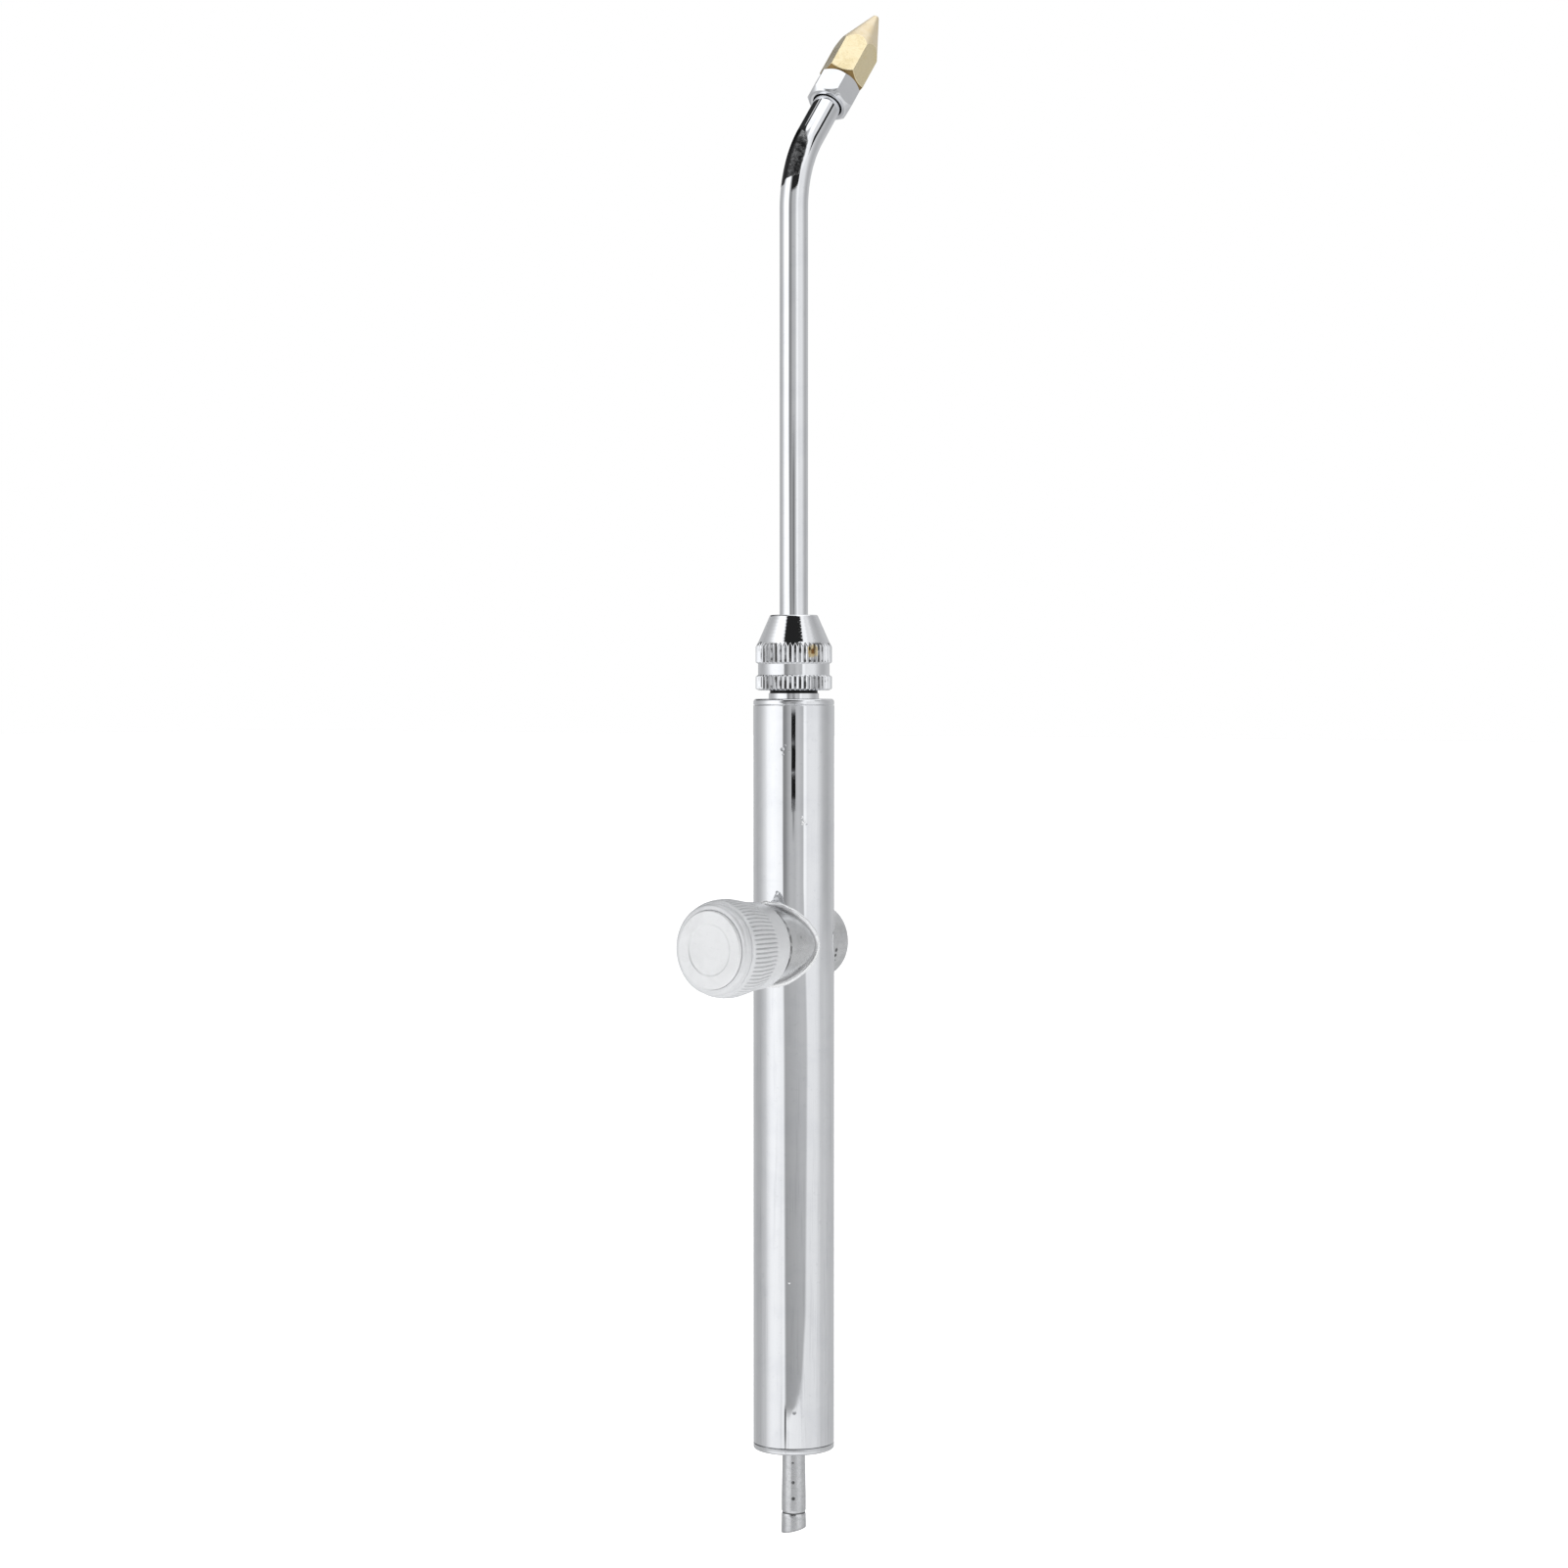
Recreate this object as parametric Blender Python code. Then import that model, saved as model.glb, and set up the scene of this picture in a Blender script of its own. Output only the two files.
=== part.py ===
"""Jewelry soldering torch, modelled as an assembly of separate pieces.

Frame: origin where the handle's axis crosses the valve's axis, +Z towards the
tip, knob towards -Y, neck bent towards +Y, X = 0 is the plane of symmetry.
All driving dimensions are in millimetres; the mesh functions below scale them
to metres.
"""

import math

import bmesh
import bpy
from mathutils import Matrix, Vector

MM = 0.001

# ---------------------------------------------------------------- dimensions
# handle
HANDLE_R = 7.65           # outer radius of the handle tube
HANDLE_BORE = 6.7         # inner radius of the handle tube
HANDLE_TOP = 44.8
HANDLE_END = -94.8
CROSS_HOLE = 7.2          # hole through the handle for the valve body

# rear plug and inlet tube
PLUG_END = -96.2
PLUG_EDGE = 1.4           # radius of the rounded lower edge
PLUG_SPIGOT = 6.6
PLUG_DEPTH = 8.4          # how far the spigot reaches up into the handle
INLET_R_TOP = 2.15
INLET_R_END = 2.35
INLET_BORE = 1.5
INLET_TOP = -5.3
INLET_END = -111.7        # middle of the skew-cut end
INLET_SKEW = math.tan(math.radians(13.0))
INLET_SKEW_DIR = (-0.799, -0.602)
GROOVE_Z = -108.3
GROOVE_W = 0.9
GROOVE_D = 0.2

# valve, heights are measured along the valve's axis towards the knob
VALVE_R = 7.1
VALVE_REAR = -8.15
VALVE_FRONT = 11.0
GLAND_BORE = 4.75
GLAND_FLOOR = 7.6
CHAMBER_R = 2.65
SEAT = 3.0
SEAT_R = 0.8
INLET_PORT_R = 1.45
INLET_SOCKET_R = 2.3
OUTLET_PORT_R = 1.3
OUTLET_SOCKET_R = 2.1
OUTLET_OFFSET = 4.3       # outlet port, towards the knob from the handle's axis

SPINDLE_R = 2.5
SPINDLE_NECK_R = 2.0
GLAND_HEX_AF = 10.0

# knob
KNOB_REAR = 11.7
KNOB_R_REAR = 8.15
KNOB_R_MAX = 9.2
KNOB_RIBS = 66
KNOB_RIB_DEPTH = 0.3
CAP_R = 7.22
CAP_FRONT = 26.0
CAP_RECESS_R = 4.85

# outlet tube
OUTLET_R = 2.0
OUTLET_BORE = 1.3

# front plug, collet and nut
FLANGE_R = 7.62
FLANGE_TOP = 46.0
STEM_R = 4.75
STEM_TOP = 56.0
NECK_HOLE = 2.78
NUT_TEETH = 46
NUT_R = 7.2
NUT_TOOTH = 0.36
NUT_WAIST = 6.75
NUT_BOTTOM = 47.6
NUT_TOP = 61.8
NUT_NOSE_R = 4.45

# neck and tip
NECK_R = 2.68
NECK_BORE = 1.9
NECK_START = 38.3
BEND_START = 138.1
BEND_R = 22.3
BEND_ANGLE = math.radians(40.0)
FRONT_FACE = 14.3         # bend's end to the adapter's front face, along the tip axis
ADAPTER_AF = 8.0
ADAPTER_LEN = 5.9
ADAPTER_TURN = math.radians(21.0)
STUB_R = 2.35
NOZZLE_AF = 7.7
NOZZLE_LEN = 18.8
NOZZLE_TURN = math.radians(32.2)
NOZZLE_KINK = 8.3         # where the hexagon's corners meet the cone
NOZZLE_END_R = 0.62
ORIFICE_R = 0.3


# ------------------------------------------------------------------- helpers
def clear_scene():
    for obj in list(bpy.data.objects):
        bpy.data.objects.remove(obj, do_unlink=True)


def material(name, colour, metallic, roughness):
    mat = bpy.data.materials.new(name)
    mat.use_nodes = True
    shader = mat.node_tree.nodes["Principled BSDF"]
    shader.inputs["Base Color"].default_value = (*colour, 1.0)
    shader.inputs["Metallic"].default_value = metallic
    shader.inputs["Roughness"].default_value = roughness
    return mat


def empty(name, location=(0.0, 0.0, 0.0), rotation=(0.0, 0.0, 0.0)):
    obj = bpy.data.objects.new(name, None)
    obj.empty_display_size = 0.01
    obj.location = Vector(location) * MM
    obj.rotation_euler = rotation
    bpy.context.scene.collection.objects.link(obj)
    return obj


def place(bm, name, parent, mat):
    bmesh.ops.remove_doubles(bm, verts=bm.verts, dist=1e-7)
    bmesh.ops.recalc_face_normals(bm, faces=bm.faces)
    mesh = bpy.data.meshes.new(name)
    bm.to_mesh(mesh)
    bm.free()
    obj = bpy.data.objects.new(name, mesh)
    bpy.context.scene.collection.objects.link(obj)
    obj.parent = parent
    if mat is not None:
        mesh.materials.append(mat)
    mesh.shade_smooth()
    mesh.set_sharp_from_angle(angle=math.radians(32.0))
    return obj


def ring_points(bm, count, radius, height, depth=0.0, turn=0.0):
    """One turned ring; with a depth it becomes a toothed ring of twice the points."""
    if radius < 1e-9:
        return [bm.verts.new((0.0, 0.0, height * MM))]
    steps = count * 2 if depth > 0.0 else count
    verts = []
    for k in range(steps):
        a = turn + 2.0 * math.pi * k / steps
        r = radius if (depth == 0.0 or k % 2) else radius - depth
        verts.append(bm.verts.new((r * math.cos(a) * MM, r * math.sin(a) * MM, height * MM)))
    return verts


def bridge(bm, count, a, b):
    """Faces between two rings: points, smooth rings or toothed rings."""
    if len(a) == 1 and len(b) == 1:
        return
    if len(a) == 1 or len(b) == 1:
        tip, ring = (a[0], b) if len(a) == 1 else (b[0], a)
        n = len(ring)
        for k in range(n):
            bm.faces.new((tip, ring[k], ring[(k + 1) % n]))
        return
    if len(a) == len(b):
        n = len(a)
        for k in range(n):
            j = (k + 1) % n
            bm.faces.new((a[k], a[j], b[j], b[k]))
        return
    smooth, toothed = (a, b) if len(a) < len(b) else (b, a)
    n = len(smooth)
    for k in range(n):
        j = (k + 1) % n
        bm.faces.new((smooth[k], smooth[j], toothed[(2 * k + 2) % (2 * n)],
                      toothed[2 * k + 1], toothed[2 * k]))


def turned(name, profile, count, parent, mat, closed=True, turn=0.0):
    """Solid of revolution about the parent's Z axis.

    profile: (radius, height) or (radius, height, tooth depth) in order along
    the outline; closed joins the last ring to the first (a piece with a
    through bore), otherwise the outline starts and ends on the axis."""
    bm = bmesh.new()
    rings = []
    for p in profile:
        depth = p[2] if len(p) > 2 else 0.0
        rings.append(ring_points(bm, count, p[0], p[1], depth, turn))
    for i in range(len(rings) - 1):
        bridge(bm, count, rings[i], rings[i + 1])
    if closed:
        bridge(bm, count, rings[-1], rings[0])
    return place(bm, name, parent, mat)


def arc(cx, cz, radius, start, end, steps):
    """Points of a profile's rounded corner, angles in degrees."""
    out = []
    for i in range(steps + 1):
        a = math.radians(start + (end - start) * i / steps)
        out.append((cx + radius * math.cos(a), cz + radius * math.sin(a)))
    return out


def swept_tube(name, path, outer, inner, count, parent, mat):
    """Hollow tube along a path that lies in the plane X = 0."""
    bm = bmesh.new()
    across = Vector((1.0, 0.0, 0.0))
    outer_rings, inner_rings = [], []
    for i, p in enumerate(path):
        a = Vector(path[max(i - 1, 0)])
        b = Vector(path[min(i + 1, len(path) - 1)])
        if i == 0:
            tangent = (Vector(path[1]) - Vector(path[0])).normalized()
        elif i == len(path) - 1:
            tangent = (Vector(path[-1]) - Vector(path[-2])).normalized()
        else:
            tangent = ((b - Vector(p)).normalized() + (Vector(p) - a).normalized()).normalized()
        side = tangent.cross(across)
        for radius, rings in ((outer, outer_rings), (inner, inner_rings)):
            ring = []
            for k in range(count):
                t = 2.0 * math.pi * k / count
                q = Vector(p) + across * (radius * math.cos(t)) + side * (radius * math.sin(t))
                ring.append(bm.verts.new(q * MM))
            rings.append(ring)
    for i in range(len(path) - 1):
        bridge(bm, count, outer_rings[i], outer_rings[i + 1])
        bridge(bm, count, inner_rings[i], inner_rings[i + 1])
    bridge(bm, count, outer_rings[0], inner_rings[0])
    bridge(bm, count, outer_rings[-1], inner_rings[-1])
    return place(bm, name, parent, mat)


def as_cutter(obj):
    obj.hide_render = True
    obj.display_type = "WIRE"
    return obj


def apply_shape(obj, cutter, operation):
    mod = obj.modifiers.new(cutter.name, "BOOLEAN")
    mod.operation = operation
    mod.solver = "EXACT"
    mod.object = cutter


def hex_prism(name, across_flats, low, high, turn, parent):
    corner = across_flats / math.sqrt(3.0)
    obj = turned(name, [(0.0, low), (corner, low), (corner, high), (0.0, high)],
                 6, parent, None, closed=False, turn=turn)
    return as_cutter(obj)


def block(name, size, centre, parent):
    bm = bmesh.new()
    bmesh.ops.create_cube(bm, size=1.0)
    bmesh.ops.scale(bm, vec=Vector(size) * MM, verts=bm.verts)
    bmesh.ops.translate(bm, vec=Vector(centre) * MM, verts=bm.verts)
    return as_cutter(place(bm, name, parent, None))


# -------------------------------------------------------------------- pieces
def build_handle(mats, handle, valve):
    chrome = mats["chrome"]

    tube = turned("handle_tube",
                  [(HANDLE_R, HANDLE_TOP), (HANDLE_R, HANDLE_END),
                   (HANDLE_BORE, HANDLE_END), (HANDLE_BORE, HANDLE_TOP)],
                  40, handle, chrome)
    cross = as_cutter(turned("cutter_cross_hole",
                             [(0.0, -14.0), (CROSS_HOLE, -14.0), (CROSS_HOLE, 14.0), (0.0, 14.0)],
                             40, valve, None, closed=False))
    apply_shape(tube, cross, "DIFFERENCE")

    edge = arc(HANDLE_R - PLUG_EDGE, PLUG_END + PLUG_EDGE, PLUG_EDGE, 0.0, -90.0, 4)
    turned("rear_plug",
           [(PLUG_SPIGOT, HANDLE_END + PLUG_DEPTH), (PLUG_SPIGOT, PLUG_END + PLUG_EDGE)] + edge +
           [(INLET_SOCKET_R, PLUG_END), (INLET_SOCKET_R, HANDLE_END + PLUG_DEPTH)],
           32, handle, chrome)

    inlet = turned("inlet_tube",
                   [(INLET_R_TOP, INLET_TOP), (INLET_R_TOP, -97.0), (2.3, -105.5),
                    (2.3, GROOVE_Z + 0.5 * GROOVE_W), (2.3 - GROOVE_D, GROOVE_Z + 0.2),
                    (2.3 - GROOVE_D, GROOVE_Z - 0.2), (2.3, GROOVE_Z - 0.5 * GROOVE_W),
                    (INLET_R_END, INLET_END + 0.15), (INLET_R_END - 0.15, INLET_END),
                    (INLET_BORE, INLET_END), (INLET_BORE, INLET_TOP)],
                   20, handle, chrome)
    # the lower end is cut a little askew
    for v in inlet.data.vertices:
        if v.co.z < (INLET_END + 0.3) * MM:
            lean = v.co.x * INLET_SKEW_DIR[0] + v.co.y * INLET_SKEW_DIR[1]
            v.co.z -= INLET_SKEW * lean

    body = turned("valve_body",
                  [(0.0, VALVE_REAR), (6.6, VALVE_REAR), (6.9, VALVE_REAR + 0.12),
                   (VALVE_R, VALVE_REAR + 0.6),
                   (VALVE_R, VALVE_FRONT - 0.4), (VALVE_R - 0.4, VALVE_FRONT),
                   (GLAND_BORE, VALVE_FRONT), (GLAND_BORE, GLAND_FLOOR),
                   (CHAMBER_R, GLAND_FLOOR), (CHAMBER_R, SEAT), (SEAT_R, SEAT),
                   (SEAT_R, 0.0), (0.0, 0.0)],
                  32, valve, chrome, closed=False)
    inlet_port = as_cutter(turned("cutter_inlet_port",
                                  [(0.0, -9.5), (INLET_SOCKET_R, -9.5), (INLET_SOCKET_R, -5.0),
                                   (INLET_PORT_R, -5.0), (INLET_PORT_R, 1.0), (0.0, 1.0)],
                                  20, handle, None, closed=False))
    outlet_port = as_cutter(turned("cutter_outlet_port",
                                   [(0.0, 0.2), (OUTLET_PORT_R, 0.2), (OUTLET_PORT_R, 4.5),
                                    (OUTLET_SOCKET_R, 4.5), (OUTLET_SOCKET_R, 9.5), (0.0, 9.5)],
                                   20, handle, None, closed=False))
    outlet_port.location = Vector((0.0, -OUTLET_OFFSET, 0.0)) * MM
    apply_shape(body, inlet_port, "DIFFERENCE")
    apply_shape(body, outlet_port, "DIFFERENCE")

    turned("gland_packing", [(2.65, 7.7), (4.63, 7.7), (4.63, 9.2), (2.65, 9.2)],
           20, valve, mats["packing"])
    turned("gland_washer", [(2.65, 9.3), (4.63, 9.3), (4.63, 9.9), (2.65, 9.9)],
           20, valve, mats["brass"])
    gland = turned("gland_nut",
                   [(2.65, 10.0), (4.63, 10.0), (4.63, 11.1), (5.2, 11.1), (5.8, 11.4),
                    (5.8, 13.7), (5.2, 14.0), (2.65, 14.0)],
                   20, valve, mats["brass"])
    apply_shape(gland, hex_prism("cutter_gland_hex", GLAND_HEX_AF, 9.0, 15.0, 0.0, valve), "INTERSECT")

    path = [(0.0, -OUTLET_OFFSET, 4.7)]
    low, high, steps = 9.0, 29.0, 8
    for i in range(steps + 1):
        s = i / steps
        ease = 0.5 - 0.5 * math.cos(math.pi * s)
        path.append((0.0, -OUTLET_OFFSET * (1.0 - ease), low + (high - low) * s))
    path.append((0.0, 0.0, 35.9))
    swept_tube("outlet_tube", path, OUTLET_R, OUTLET_BORE, 12, handle, mats["brass"])

    turned("front_plug",
           [(PLUG_SPIGOT, 32.0), (PLUG_SPIGOT, HANDLE_TOP + 0.1), (FLANGE_R, HANDLE_TOP + 0.1),
            (FLANGE_R, FLANGE_TOP - 0.35), (FLANGE_R - 0.3, FLANGE_TOP), (STEM_R, FLANGE_TOP),
            (STEM_R, STEM_TOP - 0.4), (STEM_R - 0.4, STEM_TOP), (4.2, STEM_TOP),
            (NECK_HOLE, 52.0), (NECK_HOLE, 43.6), (3.9, 43.6), (3.9, 42.4), (NECK_HOLE, 42.4),
            (NECK_HOLE, 38.2), (OUTLET_BORE, 38.2), (OUTLET_BORE, 36.0),
            (OUTLET_SOCKET_R, 36.0), (OUTLET_SOCKET_R, 32.0)],
           32, handle, chrome)
    turned("neck_seal", arc(3.29, 43.0, 0.47, 0.0, 300.0, 5), 20, handle, mats["rubber"])


def build_knob(mats, needle_axis, knob_axis):
    turned("valve_needle",
           [(0.0, 2.2), (0.15, 2.2), (1.45, 4.2), (1.9, 4.2), (1.9, 5.25), (0.9, 5.25),
            (0.9, 8.3), (0.0, 8.3)],
           16, needle_axis, mats["steel"], closed=False)
    turned("spindle",
           [(0.0, 8.5), (1.05, 8.5), (1.05, 5.4), (SPINDLE_R, 5.4), (SPINDLE_R, 15.0),
            (SPINDLE_NECK_R, 15.0), (SPINDLE_NECK_R, 21.0), (1.1, 21.0), (1.1, 16.5), (0.0, 16.5)],
           24, knob_axis, mats["steel"], closed=False)

    # a slightly barrelled grip: plain rear band, ribs, shoulder, plain rim
    turned("knob",
           [(7.0, KNOB_REAR), (7.8, KNOB_REAR), (KNOB_R_REAR, 12.0), (8.67, 15.7),
            (8.7, 15.9, KNOB_RIB_DEPTH), (8.96, 18.0, KNOB_RIB_DEPTH),
            (KNOB_R_MAX, 20.4, KNOB_RIB_DEPTH), (9.15, 22.1, KNOB_RIB_DEPTH),
            (8.98, 23.3, KNOB_RIB_DEPTH), (8.9, 23.5), (8.75, 23.95), (8.55, 24.05),
            (8.42, 25.0), (8.15, 25.35), (7.7, 25.5), (7.36, 25.5),
            (7.36, 24.8), (3.6, 24.8), (3.6, 16.0), (7.0, 16.0)],
           KNOB_RIBS, knob_axis, mats["knob"])
    turned("knob_bush", [(2.12, 16.1), (3.48, 16.1), (3.48, 21.1), (2.12, 21.1)],
           20, knob_axis, mats["brass"])
    screw = turned("knob_screw",
                   [(0.0, 17.0), (1.0, 17.0), (1.0, 21.25), (3.1, 21.25), (3.1, 22.5),
                    (2.7, 22.9), (0.0, 22.9)],
                   16, knob_axis, mats["steel"], closed=False)
    apply_shape(screw, block("cutter_screw_slot", (8.0, 0.8, 1.4), (0.0, 0.0, 23.0), knob_axis),
                "DIFFERENCE")
    turned("knob_cap",
           [(0.0, 24.9), (CAP_R, 24.9), (CAP_R, CAP_FRONT - 0.25), (CAP_R - 0.25, CAP_FRONT),
            (CAP_RECESS_R, CAP_FRONT), (CAP_RECESS_R - 0.2, CAP_FRONT - 0.2),
            (0.0, CAP_FRONT - 0.2)],
           32, knob_axis, mats["knob"], closed=False)


def build_collet(mats, collet_axis, nut_axis):
    collet = turned("collet",
                    [(NECK_HOLE, 53.2), (3.12, 53.2), (4.03, 55.9), (4.03, 56.15), (4.62, 56.15),
                     (4.62, 57.2), (3.15, 60.4), (NECK_HOLE, 60.4)],
                    24, collet_axis, mats["brass"])
    for i in range(2):
        slot = block("cutter_slot_%d" % (i + 1), (12.0, 0.8, 6.6), (0.0, 0.0, 55.2), collet_axis)
        slot.rotation_euler = (0.0, 0.0, math.radians(90.0 * i + 7.0))
        apply_shape(collet, slot, "DIFFERENCE")

    turned("collet_nut",
           [(4.87, NUT_BOTTOM), (6.6, NUT_BOTTOM), (NUT_R, NUT_BOTTOM + 0.3, NUT_TOOTH),
            (NUT_R, 50.2, NUT_TOOTH), (NUT_WAIST, 50.5), (NUT_WAIST, 52.6),
            (NUT_R, 52.9, NUT_TOOTH), (NUT_R, 56.2, NUT_TOOTH), (6.7, 56.5),
            (NUT_NOSE_R + 0.15, 61.5), (NUT_NOSE_R, NUT_TOP), (2.95, NUT_TOP), (2.95, 61.3),
            (4.87, 57.4)],
           NUT_TEETH, nut_axis, mats["chrome"])


def build_neck(mats, neck_axis, tip_axis, lift_axis, nozzle_axis):
    path = [(0.0, 0.0, NECK_START), (0.0, 0.0, 88.0)]
    steps = 10
    for i in range(steps + 1):
        a = BEND_ANGLE * i / steps
        path.append((0.0, BEND_R * (1.0 - math.cos(a)), BEND_START + BEND_R * math.sin(a)))
    end = Vector(path[-1])
    u = Vector((0.0, math.sin(BEND_ANGLE), math.cos(BEND_ANGLE)))
    path.append(tuple(end + u * (FRONT_FACE - 2.9)))
    swept_tube("neck_tube", path, NECK_R, NECK_BORE, 20, neck_axis, mats["chrome"])

    adapter = turned("tip_adapter",
                     [(NECK_HOLE, -ADAPTER_LEN), (3.75, -ADAPTER_LEN),
                      (4.7, -ADAPTER_LEN + 0.95), (4.7, -0.6), (3.9, 0.0),
                      (STUB_R, 0.0), (STUB_R, 4.7), (STUB_R - 0.3, 5.0), (1.5, 5.0), (1.5, -2.8),
                      (NECK_HOLE, -2.8)],
                     24, tip_axis, mats["chrome"])
    apply_shape(adapter, hex_prism("cutter_adapter_hex", ADAPTER_AF, -12.0, 8.0, ADAPTER_TURN, tip_axis),
                "INTERSECT")

    turned("tip_gasket", [(2.5, 0.15), (3.2, 0.15), (3.2, 0.65), (2.5, 0.65)],
           20, lift_axis, mats["copper"])

    corner = NOZZLE_AF / math.sqrt(3.0)
    slope = (corner - NOZZLE_END_R) / (NOZZLE_LEN - NOZZLE_KINK)
    start = NOZZLE_KINK - 0.15 / slope
    nozzle = turned("nozzle",
                    [(3.3, 0.1), (3.45, 0.1), (corner + 0.15, 0.1 + corner + 0.15 - 3.45),
                     (corner + 0.15, start), (NOZZLE_END_R, NOZZLE_LEN), (ORIFICE_R, NOZZLE_LEN),
                     (ORIFICE_R, 16.6), (2.5, 6.2), (2.5, 0.75), (3.3, 0.75)],
                    24, nozzle_axis, mats["brass"])
    apply_shape(nozzle, hex_prism("cutter_nozzle_hex", NOZZLE_AF, -3.0, 20.0, NOZZLE_TURN, nozzle_axis),
                "INTERSECT")


def main():
    clear_scene()
    mats = {
        "chrome": material("chrome", (0.78, 0.79, 0.81), 1.0, 0.08),
        "brass": material("brass", (0.82, 0.63, 0.30), 1.0, 0.22),
        "knob": material("knob_satin", (0.68, 0.69, 0.69), 0.0, 0.38),
        "steel": material("steel", (0.55, 0.56, 0.58), 1.0, 0.3),
        "copper": material("copper", (0.80, 0.45, 0.32), 1.0, 0.35),
        "packing": material("packing", (0.80, 0.79, 0.75), 0.0, 0.6),
        "rubber": material("rubber", (0.03, 0.03, 0.03), 0.0, 0.65),
    }

    towards_knob = (math.radians(90.0), 0.0, 0.0)
    handle = empty("frame_handle")
    valve = empty("axis_valve", rotation=towards_knob)
    needle = empty("axis_needle", rotation=towards_knob)
    knob = empty("axis_knob", rotation=towards_knob)
    collet = empty("axis_collet")
    nut = empty("axis_nut")
    neck = empty("axis_neck")

    u = Vector((0.0, math.sin(BEND_ANGLE), math.cos(BEND_ANGLE)))
    bend_end = Vector((0.0, BEND_R * (1.0 - math.cos(BEND_ANGLE)),
                       BEND_START + BEND_R * math.sin(BEND_ANGLE)))
    face = bend_end + u * FRONT_FACE
    lean = (-BEND_ANGLE, 0.0, 0.0)
    tip = empty("axis_tip", face, lean)
    lift = empty("axis_lift", face, lean)
    nozzle = empty("axis_nozzle", face, lean)

    build_handle(mats, handle, valve)
    build_knob(mats, needle, knob)
    build_collet(mats, collet, nut)
    build_neck(mats, neck, tip, lift, nozzle)
    bpy.context.view_layer.update()


main()
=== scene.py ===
"""Looks of the jewelry soldering torch: fine visible shapes, materials, studio
light and camera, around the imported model.  Shape functions work in millimetres
in the torch's own frame (+Z towards the tip, knob towards -Y)."""

import math

import bmesh
import bpy
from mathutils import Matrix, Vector, noise


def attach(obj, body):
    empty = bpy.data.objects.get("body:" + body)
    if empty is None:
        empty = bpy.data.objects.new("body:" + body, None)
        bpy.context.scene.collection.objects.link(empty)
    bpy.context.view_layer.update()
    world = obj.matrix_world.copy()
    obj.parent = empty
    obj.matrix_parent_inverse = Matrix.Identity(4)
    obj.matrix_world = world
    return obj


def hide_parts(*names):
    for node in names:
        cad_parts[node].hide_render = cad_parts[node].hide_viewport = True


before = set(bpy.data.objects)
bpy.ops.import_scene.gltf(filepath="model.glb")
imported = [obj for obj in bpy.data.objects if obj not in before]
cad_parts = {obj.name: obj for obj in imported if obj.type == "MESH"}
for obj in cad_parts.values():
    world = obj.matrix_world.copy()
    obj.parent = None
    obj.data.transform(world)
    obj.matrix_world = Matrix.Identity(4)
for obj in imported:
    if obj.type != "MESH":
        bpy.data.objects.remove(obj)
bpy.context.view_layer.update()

MM = 0.001
TAU = 2.0 * math.pi
scene = bpy.context.scene

# ------------------------------------------------------------------ the camera
# b: from the torch to the camera, level; r: to the right in the picture
TURN = math.radians(37.0)
B = Vector((math.sin(TURN), -math.cos(TURN), 0.0))
R = Vector((math.cos(TURN), math.sin(TURN), 0.0))
PITCH = math.radians(1.577)
LENS = 82.07
SENSOR = 36.0
IMAGE = 1601.0
EYE = B * 0.675 - R * 0.00185 + Vector((0.0, 0.0, 0.0485))
AHEAD = (-B * math.cos(PITCH) + Vector((0.0, 0.0, -math.sin(PITCH)))).normalized()
UP = R.cross(AHEAD).normalized()

camera = bpy.data.cameras.new("camera")
camera.lens = LENS
camera.sensor_width = SENSOR
camera.sensor_fit = "HORIZONTAL"
camera.clip_start = 0.01
camera.clip_end = 100.0
camera_object = bpy.data.objects.new("camera", camera)
scene.collection.objects.link(camera_object)
turn = camera_object.matrix_world.to_3x3()
turn.col[0], turn.col[1], turn.col[2] = R, UP, -AHEAD
camera_object.matrix_world = turn.to_4x4()
camera_object.location = EYE
scene.camera = camera_object


def on_cylinder(x, y, radius):
    """Point of an upright cylinder, in metres, that shows at picture place x, y."""
    step = R * ((x - IMAGE / 2) * SENSOR / IMAGE) - UP * ((y - IMAGE / 2) * SENSOR / IMAGE)
    d = (AHEAD * LENS + step).normalized()
    a = d.x * d.x + d.y * d.y
    b = EYE.x * d.x + EYE.y * d.y
    c = EYE.x * EYE.x + EYE.y * EYE.y - radius * radius
    t = (-b - math.sqrt(max(b * b - a * c, 0.0))) / a
    return EYE + d * t


def on_barrel(x, y, radius):
    """The same for a cylinder along Y, the valve's axis."""
    step = R * ((x - IMAGE / 2) * SENSOR / IMAGE) - UP * ((y - IMAGE / 2) * SENSOR / IMAGE)
    d = (AHEAD * LENS + step).normalized()
    a = d.x * d.x + d.z * d.z
    b = EYE.x * d.x + EYE.z * d.z
    c = EYE.x * EYE.x + EYE.z * EYE.z - radius * radius
    t = (-b - math.sqrt(max(b * b - a * c, 0.0))) / a
    return EYE + d * t


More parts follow.
